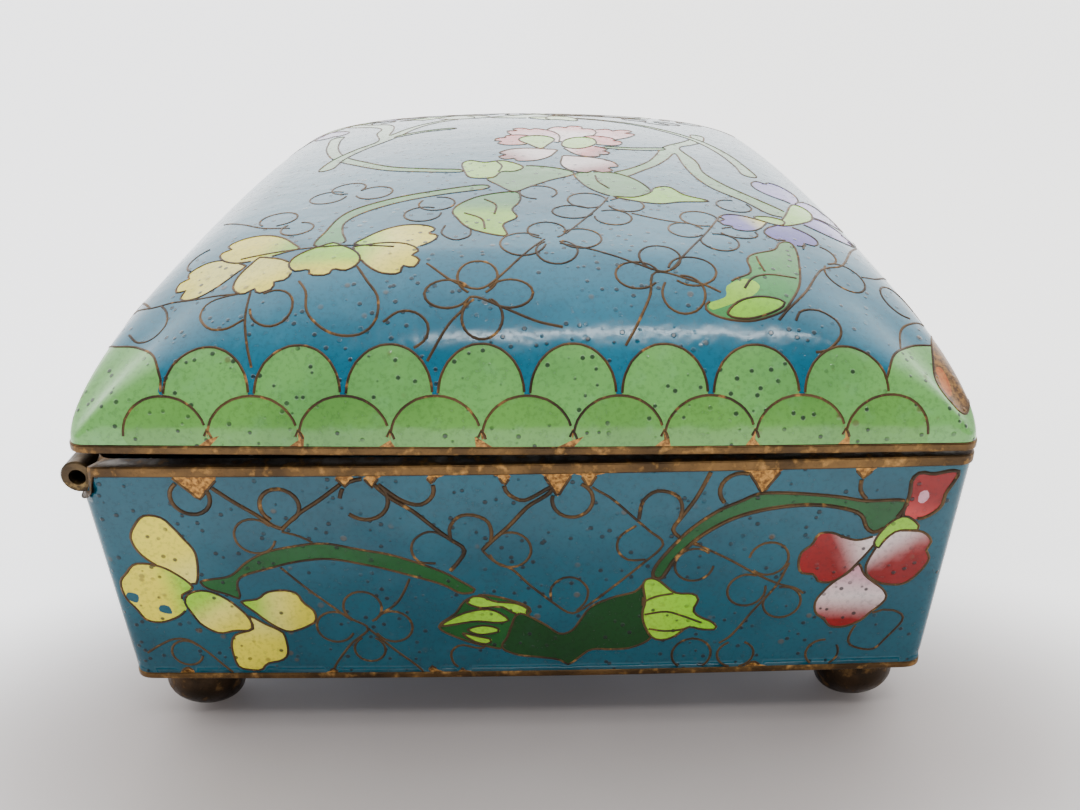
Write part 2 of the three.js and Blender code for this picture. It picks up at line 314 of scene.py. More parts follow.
def inside_polygon(points, polygon):
    """Even-odd test of many points against one closed line."""
    x, y = points[:, 0], points[:, 1]
    within = np.zeros(len(points), bool)
    for (x0, y0), (x1, y1) in zip(polygon, np.roll(polygon, -1, axis=0)):
        if y0 != y1:
            crosses = (y0 > y) != (y1 > y)
            within ^= crosses & (x < (x1 - x0) * (y - y0) / (y1 - y0) + x0)
    return within


class Inlay:
    """The cells and wires of one flat sheet."""

    def __init__(self):
        self.cells, self.wires = [], []

    def cell(self, line, *colours, base=None, tip=None, wired=True, metal=0.0):
        """A filled outline. Several colours run from `base` to `tip`."""
        line = np.array(line, float)
        self.cells.append((line, colours, base, tip, metal))
        if wired:
            self.wires.append((np.vstack([line, line[:1]]), 1.0, len(self.cells)))

    def shape(self, points, *colours, **more):
        self.cell(smooth(points, closed=True), *colours, **more)

    def petal(self, base, tip, width, *colours, **more):
        self.cell(petal(base, tip, width, **more), *colours, base=base, tip=tip)

    def wire(self, points):
        self.wires.append((smooth(points), 1.0, len(self.cells)))

    def loops(self, *lines):
        for line in lines:
            self.wire(line)

    def moved(self, shift, mirror=(1, 1), recolour=None):
        """A copy, mirrored and then shifted, with other colours where asked."""
        copy = Inlay()
        names = recolour or {}
        for line, colours, base, tip, metal in self.cells:
            ends = [None if p is None else tuple(np.array(p) * mirror + shift) for p in (base, tip)]
            changed = tuple(names.get(colour, colour) for colour in colours)
            copy.cells.append((line * mirror + shift, changed, *ends, metal))
        copy.wires = [(line * mirror + shift, thick, after) for line, thick, after in self.wires]
        return copy

    def add(self, other):
        self.wires += [(line, thick, after + len(self.cells)) for line, thick, after in other.wires]
        self.cells += other.cells

    def shown(self, line, after):
        """Which points of a wire aren't covered by a cell that was laid later."""
        free = np.ones(len(line), bool)
        low, high = line.min(axis=0), line.max(axis=0)
        for cell_line, *_ in self.cells[after:]:
            if np.all(cell_line.max(axis=0) > low) and np.all(cell_line.min(axis=0) < high):
                free &= ~inside_polygon(line, cell_line)
        return free


print("a petal has", len(petal((0, 0), (8, 0), 5)), "points")

# %% [markdown]
# ## The enamel colours
#
# Glass is coloured through, so each colour is one value here and the material adds what firing does to
# it. A petal often holds two or three powders that melt into each other, from lime at the base through
# cream or white to yellow or red at the tip.

# %% Colours of the glass and the bare metal
def linear(red, green, blue):
    """A screen colour of 0 to 255 as linear light."""
    return tuple(((v / 255 + 0.055) / 1.055) ** 2.4 if v > 10 else v / 3300 for v in (red, green, blue))


GLASS = {
    "lid blue": linear(24, 104, 128),
    # The tray's blue is the lid's blue made darker: painted shade for the walls, which stand in shade below
    # the lid.
    "tray blue": linear(24, 82, 98),
    "scale green": linear(108, 168, 88),
    "deep scale": linear(100, 156, 72),
    "yellow": linear(232, 216, 60),
    "cream": linear(232, 220, 108),
    "lime": linear(150, 204, 44),
    "bright lime": linear(140, 206, 28),
    "leaf": linear(56, 140, 64),
    "grey leaf": linear(74, 142, 66),
    "stem": linear(22, 84, 34),
    "calyx": linear(18, 62, 24),
    "red": linear(140, 16, 16),
    "rose": linear(206, 62, 58),
    "white": linear(236, 216, 212),
    "pink": linear(222, 160, 172),
    "violet": linear(72, 56, 160),
    "lavender": linear(136, 116, 196),
    "copper": linear(120, 78, 50),
    "burnt copper": linear(54, 42, 32),
    "gold web": linear(150, 104, 48),
    "rust": linear(196, 96, 44),
    "counter blue": linear(46, 104, 138),
}
print(len(GLASS), "colours")

# %% [markdown]
# ## The flowers on the lid
#
# A yellow flower of six petals lies near the hinge side, a violet one opposite, and a red and white
# peony between them, all joined by green stems that end in buds. The ground between is held by loose
# loops of wire, because a wide field of glass without wires would crack off.

# %% Draw the near half of the lid
def yellow_lid_flower(inlay):
    inlay.shape([(-19.6, -35.9), (-19.0, -33), (-18.2, -29.5), (-16.6, -27.2), (-13, -25), (-9, -23.6),
                 (-4.5, -22.4), (-4, -23.6), (-8.5, -24.9), (-12.5, -26.4), (-15.8, -28.6), (-17.4, -31),
                 (-17.3, -33.4), (-16.7, -35.7), (-18, -36.3)], "leaf", "grey leaf", base=(-18, -36),
                tip=(-4, -23))
    inlay.petal((-15.8, -36.2), (-8.1, -34.4), 5.2, "lime", "cream", "yellow", lobes=2)
    inlay.petal((-15.8, -36.9), (-9.6, -40), 4.7, "lime", "cream", "yellow")
    inlay.petal((-25.7, -37.6), (-32.5, -37.9), 5.4, "cream", "cream", "yellow")
    inlay.petal((-20.9, -36.2), (-28.9, -33.3), 4.8, "lime", "yellow", "yellow", lobes=2, notch=0.3)
    inlay.petal((-24.6, -36.6), (-23.0, -42.2), 5.4, "cream", "cream", "yellow")
    inlay.petal((-17.8, -35.7), (-18.4, -40.9), 6.6, "lime", "lime", "yellow")
    inlay.wire([(-26.5, -36.1), (-22, -36.3), (-16, -36.5), (-12, -37.2)])


def green_buds(inlay):
    inlay.shape([(-1.2, -24.6), (-2.8, -22.6), (-4, -20), (-1, -16.2), (3, -16.6), (5.2, -18.6), (2.4, -21.2),
                 (0.2, -23.4)], "grey leaf")
    inlay.shape([(-7, -14.6), (-6.2, -13.4), (-4.5, -14.4), (-2.5, -13.9), (-0.3, -16.3), (-1.2, -18),
                 (-2.6, -18.1), (-3.5, -20.1), (-5.8, -19.9), (-6.6, -17.5)], "lime")
    inlay.wire([(-3.2, -14.2), (-2.6, -16), (-2.9, -18)])
    inlay.shape([(-1.2, -24.6), (-4.4, -25.6), (-6.4, -27.6), (-7.1, -29.5), (-6.6, -31.2), (-5.1, -33.9),
                 (-1.8, -35.5), (-2.1, -33), (-0.8, -31.4), (-1.3, -29.4), (-0.7, -27.8), (-0.5, -26)],
                "leaf", "leaf", "lime", "lime", base=(-3, -24.5), tip=(-3, -34))
    inlay.wire([(-4.1, -26.6), (-2.9, -28.2), (-3, -30.5)])
    inlay.wire([(-5.9, -30.1), (-4.2, -31.6), (-3.8, -33.9)])
    inlay.shape([(5.4, -18.4), (9, -17.6), (11.2, -19), (12.6, -21.6), (12.8, -23.6), (11, -25.3),
                 (8.8, -25.4), (6.8, -23.6), (5.6, -21)], "grey leaf")
    inlay.shape([(12.8, -23.6), (13.4, -22), (15, -21.2), (16.4, -23.4), (18.8, -24.7), (15.6, -25.8),
                 (13.4, -26.8), (11, -26.4), (8.8, -25.4), (11, -25.3)], "lime", "bright lime",
                base=(9, -25.6), tip=(15, -23))
    inlay.wire([(7.4, -19), (7.6, -21), (8.6, -23)])


def peony(inlay):
    inlay.petal((4.6, -6), (13.2, 6.8), 5.6, "white", "pink", "rose")
    inlay.petal((4.4, -5), (6.4, 7.4), 6.2, "white", "white", "rose")
    inlay.petal((3.8, -5), (-1.2, 4.4), 5.6, "white", "pink", "rose")
    inlay.petal((6, -4), (11.2, -1.6), 5.8, "lime", "rose", "rose", lobes=2)
    inlay.petal((2.4, -4.4), (-3.7, -3.2), 6.2, "lime", "rose", "rose")
    inlay.petal((4.4, -8), (9.5, -9.6), 5.4, "white", "rose", "red")
    inlay.petal((3.6, -9), (-2.8, -12.8), 5.8, "white", "white", "red")
    inlay.petal((4.2, -11.6), (8.9, -17.4), 6.4, "white", "white", "red")
    inlay.shape([(-0.9, -3.6), (0.2, -1.4), (2.2, -1.2), (3.4, -3.2), (2.6, -6.2), (1.7, -8.4), (0.4, -6.4)],
                "lime", "bright lime", base=(1.4, -8), tip=(1, -1.4))
    inlay.shape([(4.2, -6.6), (4.6, -3.6), (6.2, -1.4), (8, -1.6), (8.3, -4.6), (6.8, -7.4), (5.2, -8)],
                "lime", "bright lime", base=(5, -8), tip=(7, -1.4))


def lid_stems(inlay):
    inlay.shape([(9, -18.2), (11.5, -15.4), (13.6, -12.2), (15, -8.4), (16, -4.6), (17.2, -1.6), (19.6, 2.6),
                 (21.4, 7), (22, 11), (23.6, 11), (22.8, 6), (20.8, 1.6), (18.6, -2.4), (19.7, -9),
                 (19.8, -14), (21.4, -18), (23.8, -21.4), (26.2, -24.6), (27, -26.6), (24.8, -26.8),
                 (22.6, -23.4), (19.8, -20), (18.4, -16), (17.8, -11), (17.6, -6), (16.3, -9.4), (14.7, -13),
                 (12.6, -16.2), (10.6, -18.8)], "grey leaf")
    inlay.shape([(16.4, -3.6), (12.8, -5.4), (9.4, -6), (9.4, -7), (13, -6.6), (16.2, -4.9)], "grey leaf")
    inlay.shape([(-7.2, -16.8), (-10.4, -15.9), (-14.6, -13.9), (-18, -10.4), (-21.4, -5.4), (-23.4, 1),
                 (-24.4, 8), (-24.6, 12), (-26.2, 12), (-25.8, 7), (-24.8, 0.6), (-22.6, -6.2), (-19, -11.4),
                 (-15.2, -15.1), (-10.8, -17), (-7, -17.8)], "grey leaf")


def violet_lid_flower(inlay):
    inlay.petal((28.4, -21.6), (26.4, -13.8), 4.8, "lavender", "violet", lobes=2)
    inlay.petal((27.8, -25), (34.4, -17.4), 5, "lavender", "lavender", "violet")
    inlay.petal((27, -27.6), (34, -26.6), 5, "violet", "lavender")
    inlay.petal((23.8, -29.4), (19, -30.8), 4.4, "cream", "violet", "violet")
    inlay.petal((25.4, -29.3), (25.9, -34), 5.4, "violet", "violet")
    inlay.shape([(25, -29.8), (26.4, -26.2), (28.2, -21.6), (29.8, -22.4), (29.2, -25.8), (27, -28.6)],
                "lime", "bright lime", base=(25, -30), tip=(29, -22))
    inlay.shape([(25, -29.8), (23, -28.8), (22.8, -28), (24.6, -27.6), (25.8, -28.4)], "lime")


def lid_leaf(inlay):
    inlay.shape([(25.2, -33.6), (24.1, -34.2), (23.3, -35.8), (21, -37.3), (20.3, -38.4), (20.3, -40.3),
                 (18.4, -41.7), (17.6, -43.6), (16, -44), (15.9, -44.8), (17.6, -45.5), (20, -45.6),
                 (22.5, -44.7), (23.6, -43.3), (24.7, -41), (25.3, -38), (25.6, -35)], "grey leaf", "leaf",
                base=(24, -34), tip=(22, -43))
    inlay.shape([(17.9, -42.3), (19.8, -41.2), (20.9, -41.9), (20.2, -43.1), (18.4, -44), (16.4, -44.7),
                 (16.2, -44.1), (17.7, -43.4)], "lime", wired=False)
    inlay.shape([(17.7, -45), (18.9, -43.8), (21, -43.2), (22.9, -43.5), (22.2, -44.5), (20.2, -45.3),
                 (18.6, -45.4)], "bright lime")
    inlay.wire([(24.6, -40), (22, -40.2), (20.4, -41), (19.5, -42.4)])
    inlay.wire([(21.3, -37.6), (21.4, -38.6), (21.7, -39.8)])


def lid_wires(inlay):
    inlay.loops(loop((-22, -31.5), 1.6, 110), loop((-24.5, -28.2), 1.9, 250), loop((-10, -30), 1.8, 30),
                loop((2, -34.3), 1.8, 280), loop((-0.2, -37), 2.1, 20), loop((5.1, -35.9), 2, 170, 60),
                loop((2.9, -38.3), 1.9, 100), loop((4.6, -29.9), 1.6, 10, stretch=1.25),
                loop((8.5, -31), 1.8, 150), loop((6.2, -26.8), 2, 330), loop((10, -27.6), 1.8, 170),
                loop((1.3, -24.8), 1.9, 290), loop((12.2, -39), 1.9, 270),
                loop((10, -41.3), 1.5, 350, stretch=1.3), loop((15, -40.6), 1.8, 200, stretch=1.2),
                loop((14, -43.2), 1.9, 120), loop((17, -30.1), 1.9, 320), loop((15.3, -33.2), 1.7, 350),
                loop((18.2, -35.5), 1.8, 130), loop((20.4, -33), 1.3, 170, stretch=1.4),
                loop((29.8, -37.6), 2, 140, 20), loop((35.6, -38.4), 2.2, 330, 90),
                loop((-4.2, -41.6), 1.8, 270), loop((-6.8, -43.3), 1.35, 0, stretch=1.5),
                loop((-1.3, -43.3), 1.35, 180, stretch=1.5), loop((-3.7, -45.5), 1.8, 90),
                loop((-22.2, -44.1), 1.9, 150, 60), loop((-18.6, -20.6), 1.8, 300),
                loop((-15.6, -22.9), 1.9, 170), loop((-20.4, -23), 1.9, 20), loop((-8.8, -27.4), 1.8, 120),
                loop((-30.4, -34), 2, 20, 150), loop((21.2, -25.4), 1.8, 60),
                loop((28, -34.6), 1.6, 230, 110))
    inlay.wire([(-31, -25), (-28, -28), (-25.6, -30.2), (-22.8, -31.2)])
    inlay.wire([(-24.5, -41.9), (-28, -41.9), (-28.7, -43.6), (-27.6, -45.6), (-26, -46), (-24.5, -45.2)])
    inlay.wire([(-38.5, -37.5), (-35, -39.5), (-32, -40), (-29, -40.9), (-25, -41.9), (-22.8, -41.8)])
    inlay.wire([(-24.4, -41.9), (-24.4, -45), (-24, -47.5), (-23.5, -49.4)])
    inlay.wire([(-20.1, -41.4), (-19.3, -42.8), (-19, -44.8), (-17.5, -46.3), (-15.8, -46.9), (-14, -46.7),
                (-12.9, -45.5), (-12.9, -43.5), (-14, -41.8), (-15.3, -39.6)])
    inlay.wire([(-12.3, -45.8), (-11, -44.9), (-9.5, -45), (-8.4, -46), (-8.6, -47.3), (-10, -48.2)])
    inlay.wire([(-7.6, -33), (-7.8, -34.8), (-6.5, -36.2), (-5.2, -35.5), (-5.1, -34.1)])
    inlay.wire([(-8.8, -40), (-6.5, -42), (-4.2, -42.9), (-2.6, -42), (-0.5, -39.5), (1.8, -36.2)])
    inlay.wire([(-8.4, -49), (-6.7, -46.2), (-5.4, -44.8), (-4.6, -43.6), (-1.5, -44.8), (1, -45.8),
                (3.3, -46.3)])
    inlay.wire([(3.8, -35), (5.5, -32), (7.5, -28), (8.3, -25.8)])
    inlay.wire([(3.2, -37), (5.6, -37.9), (8, -39), (11.5, -40.7), (13, -40.7), (14.5, -38.5), (17, -34),
                (19.2, -29)])
    inlay.wire([(17.3, -43), (15.5, -42.1), (11.7, -41), (11, -43.5), (9.8, -46), (8.7, -47.8)])
    inlay.wire([(10.4, -29.8), (13, -31), (15.4, -31.6)])
    inlay.wire([(22.2, -45.5), (25, -42), (27.5, -37.5), (30, -35.6), (32, -31.5), (34, -27.5), (36.4, -20)])
    inlay.wire([(31.8, -36.6), (34, -35.4), (36.4, -32), (38, -27), (39.4, -20), (39.8, -12)])
    inlay.wire([(23.7, -45.5), (24.3, -44.4), (26, -44), (27.5, -45), (27.5, -46.7), (26.3, -48),
                (25.2, -48.2)])
    inlay.wire([(38.4, -39.9), (36.5, -41), (34.5, -42.6), (33.7, -45), (33.2, -48.4)])
    inlay.wire([(-36.6, -42.4), (-35.2, -43.8), (-33.4, -44.2), (-32.3, -43), (-32.6, -41.2), (-33.6, -39.8)])
    inlay.wire([(-45.4, -22), (-44.4, -28), (-42.8, -33), (-41.4, -37.4), (-40.6, -41)])
    inlay.wire([(-42, -20), (-41, -26), (-39.6, -32), (-37.6, -36), (-35, -39.5)])


near_half = Inlay()
for draw in (lid_wires, lid_stems, yellow_lid_flower, green_buds, violet_lid_flower, lid_leaf):
    draw(near_half)
print("near half of the lid:", len(near_half.cells), "cells,", len(near_half.wires), "wires")

# %% [markdown]
# ## From drawing to surface
#
# `inlaid` cuts a flat sheet into triangles along every cell's outline. A Delaunay triangulation with
# constraints does that exactly, so a petal's edge stays a clean line at any size. Points of a grid are
# added between, so that the sheet can bend when it's laid on the lid. Each triangle then takes the
# colours of the topmost cell it lies in, and the fourth channel says how much of it is bare metal.
#
# A `Skin` gathers such surfaces into one closed mesh. They share their edges but are shaded apart.

# %% Cutting the sheet, and meshes made of several surfaces
def segments(line, closed, keep):
    """Point pairs of a line, without those that `keep` turns down."""
    kept = keep(line)
    last = len(line) if closed else len(line) - 1
    return [(i, (i + 1) % len(line)) for i in range(last) if kept[i] and kept[(i + 1) % len(line)]]


def colour_at(points, colours, base, tip):
    """The colour along a petal, from its base to its tip."""
    values = np.array([GLASS[name] for name in colours])
    if len(colours) == 1:
        return np.broadcast_to(values[0], points.shape[:-1] + (3,))
    along = np.subtract(tip, base)
    place = np.clip((points - base) @ along / (along @ along), 0, 1)
    stops = np.linspace(0.12, 0.85, len(colours))
    return np.stack([np.interp(place, stops, values[:, i]) for i in range(3)], -1)


def inlaid(boundary, inlay, ground, spacing, clear, extra=()):
    """The sheet's points, its triangles, and a colour for each of their corners."""
    points, edges = [tuple(p) for p in boundary], []
    edges += [(i, (i + 1) % len(boundary)) for i in range(len(boundary))]
    for line, *_ in inlay.cells:
        start = len(points)
        pairs = segments(line, True, clear)
        used = sorted({i for pair in pairs for i in pair})
        where = {old: start + new for new, old in enumerate(used)}
        points += [tuple(line[i]) for i in used]
        edges += [(where[a], where[b]) for a, b in pairs]
    low, high = np.min(boundary, axis=0), np.max(boundary, axis=0)
    columns = np.arange(low[0], high[0], spacing)
    rows = np.arange(low[1], high[1], spacing * 0.87)
    grid = [(x + spacing / 2 * (j % 2), y) for j, y in enumerate(rows) for x in columns]
    grid = np.vstack([grid, *extra])
    tree = KDTree(len(points))
    for i, (x, y) in enumerate(points):
        tree.insert((x, y, 0), i)
    tree.balance()
    free = clear(grid) & inside_polygon(grid, np.array(boundary))
    points += [tuple(p) for p in grid[free] if tree.find((*p, 0))[2] > 0.3 * spacing]
    cut = delaunay_2d_cdt([Vector(p) for p in points], edges, [], 1, 1e-5, False)
    flat = np.array([tuple(v) for v in cut[0]])
    triangles = np.array([face for face in cut[2] if len(face) == 3])
    a, b, c = (flat[triangles[:, i]] for i in range(3))
    turned = np.cross(b - a, c - a)
    triangles = np.where((turned < 0)[:, None], triangles[:, ::-1], triangles)[np.abs(turned) > 1e-9]
    centres = flat[triangles].mean(axis=1)
    owner = np.full(len(triangles), -1)
    for index, (line, *_) in enumerate(inlay.cells):
        near = np.all((centres >= line.min(axis=0)) & (centres <= line.max(axis=0)), axis=1)
        chosen = np.flatnonzero(near)
        owner[chosen[inside_polygon(centres[chosen], line)]] = index
    colours = np.empty((len(triangles), 3, 4))
    colours[..., :3], colours[..., 3] = GLASS[ground], 0
    for index, (line, names, base, tip, metal) in enumerate(inlay.cells):
        mine = owner == index
        colours[mine, :, :3] = colour_at(flat[triangles[mine]], names, base, tip)
        colours[mine, :, 3] = metal
    return flat, triangles, colours


def loft(rings, closed_end=False):
    """Points and triangles of a skin through rings, which run counter-clockwise seen from above."""
    count = len(rings[0])
    points, triangles = np.vstack(rings), []
    i = np.arange(count)
    j = (i + 1) % count
    for level in range(len(rings) - 1):
        a, b = level * count, (level + 1) * count
        triangles += [np.stack([a + i, a + j, b + j], -1), np.stack([a + i, b + j, b + i], -1)]
    if closed_end:
        a = (len(rings) - 1) * count
        points = np.vstack([points, rings[-1].mean(axis=0)])
        triangles.append(np.stack([a + i, a + j, np.full(count, len(points) - 1)], -1))
    return points, np.vstack(triangles)


def smooth_normals(points, triangles):
    corners = points[triangles]
    facets = np.cross(corners[:, 1] - corners[:, 0], corners[:, 2] - corners[:, 0])
    total = np.zeros_like(points)
    for i in range(3):
        np.add.at(total, triangles[:, i], facets)
    return total / np.maximum(np.linalg.norm(total, axis=1, keepdims=True), 1e-12)


class Skin:
    """Surfaces in millimetres, welded to one mesh where their points meet."""

    def __init__(self):
        self.points, self.triangles, self.normals, self.colours, self.count = [], [], [], [], 0

    def add(self, points, triangles, colours="counter blue", metal=0.0, normals=None):
        if normals is None:
            normals = smooth_normals(points, triangles)
        if isinstance(colours, str):
            colours = np.broadcast_to((*GLASS[colours], metal), (len(triangles), 3, 4))
        self.points.append(points)
        self.triangles.append(triangles + self.count)
        self.normals.append(normals[triangles])
        self.colours.append(colours)
        self.count += len(points)

    def build(self, name, place=lambda points: points):
        points, triangles = np.vstack(self.points), np.vstack(self.triangles)
        normals, colours = np.vstack(self.normals), np.vstack(self.colours)
        normals = place(normals) - place(np.zeros(3))
        welded, first, back = np.unique(points.round(4), axis=0, return_index=True, return_inverse=True)
        triangles = back.ravel()[triangles]
        whole = np.all(triangles != np.roll(triangles, 1, axis=1), axis=1)
        mesh = bpy.data.meshes.new(name)
        mesh.from_pydata((place(points[first]) * MM).tolist(), [], triangles[whole].tolist())
        mesh.shade_smooth()
        layer = mesh.color_attributes.new("inlay", "FLOAT_COLOR", "CORNER")
        layer.data.foreach_set("color", colours[whole].ravel())
        mesh.normals_split_custom_set(normals[whole].reshape(-1, 3).tolist())
        return add_object(name, mesh)


def add_object(name, mesh):
    made = bpy.data.objects.new(name, mesh)
    bpy.context.scene.collection.objects.link(made)
    return made


def wires_on(name, inlay, surface, normals, place, keep, radius=0.17, sink=0.10, step=0.5):
    """Every wire of an inlay as a fine rod, mostly buried in the surface."""
    curve = bpy.data.curves.new(name, "CURVE")
    curve.dimensions, curve.bevel_depth, curve.bevel_resolution = "3D", radius * MM, 1
    curve.use_fill_caps = True
    for line, thick, after in inlay.wires:
        ways = np.concatenate([[0], np.cumsum(np.hypot(*np.diff(line, axis=0).T))])
        places = np.linspace(0, ways[-1], max(3, int(ways[-1] / step) + 1))
        line = np.stack([np.interp(places, ways, line[:, i]) for i in (0, 1)], -1)
        kept = keep(line) & inlay.shown(line, after)
        runs = np.split(np.arange(len(line)), np.flatnonzero(np.diff(kept.astype(int))) + 1)
        for run in runs:
            if not kept[run[0]] or len(run) < 2:
                continue
            lifted = surface(line[run]) - sink * normals(surface, line[run])
            spline = curve.splines.new("POLY")
            spline.points.add(len(run) - 1)
            flat = np.hstack([place(lifted) * MM, np.ones((len(run), 1))])
            spline.points.foreach_set("co", flat.ravel())
            spline.points.foreach_set("radius", np.full(len(run), thick))
    drawn = bpy.data.objects.new(name, curve)
    bpy.context.scene.collection.objects.link(drawn)
    mesh = bpy.data.meshes.new_from_object(drawn.evaluated_get(bpy.context.evaluated_depsgraph_get()))
    bpy.data.objects.remove(drawn)
    mesh.name = name
    mesh.shade_smooth()
    return add_object(name, mesh)


print("surface tools ready")

# %% [markdown]
# ## The lid
#
# The scale border round the brim is drawn flank by flank. Two rows of scales stand on the brass band
# with wedges of brass between them, and the corners are filled with green. One corner has lost its
# glass, which is drawn as bare copper. The lid's inside is a
# smooth second skin of plain glass, a wall's thickness further in, so that the lid is truly hollow.

# %% The lid's pattern
UPPER_SCALE = (3.7, 4.3, 3.9)          # half width, height of its middle, rise of its arch
LOWER_SCALE = (3.95, 0.6, 3.6)


def scales(inlay, centres, place):
    """Two rows of scales along one flank. `place` turns (along, up) into a point of the sheet."""
    half = (centres[1] - centres[0]) / 2
    angles = np.linspace(0, np.pi, 15)
    for centre in centres[:-1] + half:
        arch = [(centre + UPPER_SCALE[0] * math.cos(a),
                 UPPER_SCALE[1] + UPPER_SCALE[2] * math.sin(a)) for a in angles]
        arch = [(centre + 3.1, -0.6), (centre + 3.55, 2.8)] + arch + [(centre - 3.55, 2.8),
                (centre - 3.1, -0.6)]
        inlay.cell([place(*p) for p in arch], "scale green")
    for centre in centres:
        arch = [(centre + LOWER_SCALE[0] * math.cos(a),
                 LOWER_SCALE[1] + LOWER_SCALE[2] * math.sin(a) ** 0.9) for a in angles]
        arch = [(centre + 3.5, -0.6)] + arch + [(centre - 3.5, -0.6)]
        inlay.cell([place(*p) for p in arch], "deep scale")
    for centre in centres[:-1] + half:
        wedge = [(centre - 0.9, -0.6), (centre + 0.9, -0.6), (centre, 1.5)]
        inlay.cell([place(*p) for p in wedge], "gold web", metal=1.0)


lid_inlay = Inlay()
lid_inlay.add(near_half)
lid_inlay.add(near_half.moved((0, 0), (-1, -1)))
peony(lid_inlay)
corner = [(31.4, 50.3), (32.6, 47.2), (35, 44.5), (38.3, 43.2), (40.6, 41), (42, 37.6), (43.3, 34.6),
          (45.7, 34.3)]
for sx in (-1, 1):
    for sy in (-1, 1):
        edge = np.vstack([smooth(corner), [(46.5, 34.3), (46.5, 56.5), (31.4, 56.5)]]) * (sx, sy)
        lid_inlay.cell(edge, "scale green")
lid_inlay.shape([(40.6, -39), (39.3, -40.8), (38.2, -43), (37.6, -45.5), (37.2, -48), (38, -50.2),
                 (40, -51.4), (42, -50.2), (43.6, -47), (44.6, -43), (45.1, -39), (43.6, -37.2)],
                "burnt copper", metal=0.6)
lid_inlay.shape([(37.7, -46.4), (38.6, -46), (39.4, -47.6), (39.2, -49.2), (38.2, -49.3)], "rust",
                wired=False, metal=0.5)
near_row = -31.4 + 7.9 * np.arange(9)
side_row = -40 + 8.0 * np.arange(11)
scales(lid_inlay, near_row, lambda s, e: (s, -SHEET[1] + e))
scales(lid_inlay, near_row, lambda s, e: (-s, SHEET[1] - e))
scales(lid_inlay, side_row, lambda s, e: (SHEET[0] - e, s))
scales(lid_inlay, side_row, lambda s, e: (-SHEET[0] + e, -s))
print("lid:", len(lid_inlay.cells), "cells,", len(lid_inlay.wires), "wires")


# %% The lid's mesh
def lid_inner_ring(inset):
    step = 0.01
    rise = (shoulder(inset + step) - shoulder(inset - step)) / (2 * step)
    slant = math.hypot(1, rise)
    plan = ring(inset + WALL * rise / slant, RIDGE_ROUND)
    height = LID_BAND + shoulder(inset) - WALL / slant + crown(plan[:, 0], plan[:, 1])
    return np.column_stack([plan, height])


def raised(plan, height):
    return np.column_stack([plan, np.full(len(plan), height)])


lid_edge = lid_sheet(outline)


def on_lid(sheet, margin=0.12):
    plan = lid_plan(sheet)
    reach = SHEET - np.abs(sheet)
    return (np.minimum(reach[:, 0], reach[:, 1]) > margin) & (inset_at(plan[:, 0], plan[:, 1]) > 0.03)


ridge_points = []
for sx in (-1, 1):
    for sy in (-1, 1):
        for t in np.arange(0, 16, 0.55):
            for s in np.arange(-4, 4.1, 0.5):
                ridge_points.append((sx * (SHEET[0] - t - max(s, 0)), sy * (SHEET[1] - t + min(s, 0))))
flat, triangles, colours = inlaid(lid_edge, lid_inlay, "lid blue", 1.05, on_lid, [ridge_points])
lid = Skin()
lid.add(lid_surface(flat), triangles, colours, normals=facing(lid_surface, flat))
brim_outer = lid_surface(lid_edge)
brim_inner = raised(ring(WALL), LID_BAND + JOIN)
angles = np.linspace(0, np.pi / 2, 17)[1:]
insets = [SHOULDER_WIDTH * (1 - max(math.cos(a), 0) ** (2 / SHOULDER_POWER)) for a in angles]
inner = [brim_inner] + [lid_inner_ring(inset) for inset in insets]
for share in np.linspace(1, 0, 9)[1:-1]:
    plan = inner[len(insets)][:, :2] * share
    height = LID_BAND + SHOULDER_HEIGHT + crown(plan[:, 0], plan[:, 1]) - WALL
    inner.append(np.column_stack([plan, height]))
points, faces = loft([brim_outer, brim_inner])
lid.add(points, faces[:, ::-1])
points, faces = loft(inner, closed_end=True)
points[-1] = (0, 0, LID_BAND + SHOULDER_HEIGHT + CROWN - WALL)
lid.add(points, faces[:, ::-1])
lid_glass = lid.build("lid_glass", lid_place)
lid_wires_mesh = wires_on("lid_wires", lid_inlay, lid_surface, facing, lid_place,
                          lambda line: on_lid(line, 0.05))
print("lid:", len(lid_glass.data.polygons), "triangles; wires:", len(lid_wires_mesh.data.polygons))

# %% [markdown]
# ## The tray's pattern
#
# The near wall carries a yellow flower and a red and white one, joined by a stem that swings down to
# two buds in the middle, with loops of wire between. The far wall repeats it the other way round in
# other colours, and the two long walls repeat its parts further apart, with more loops.

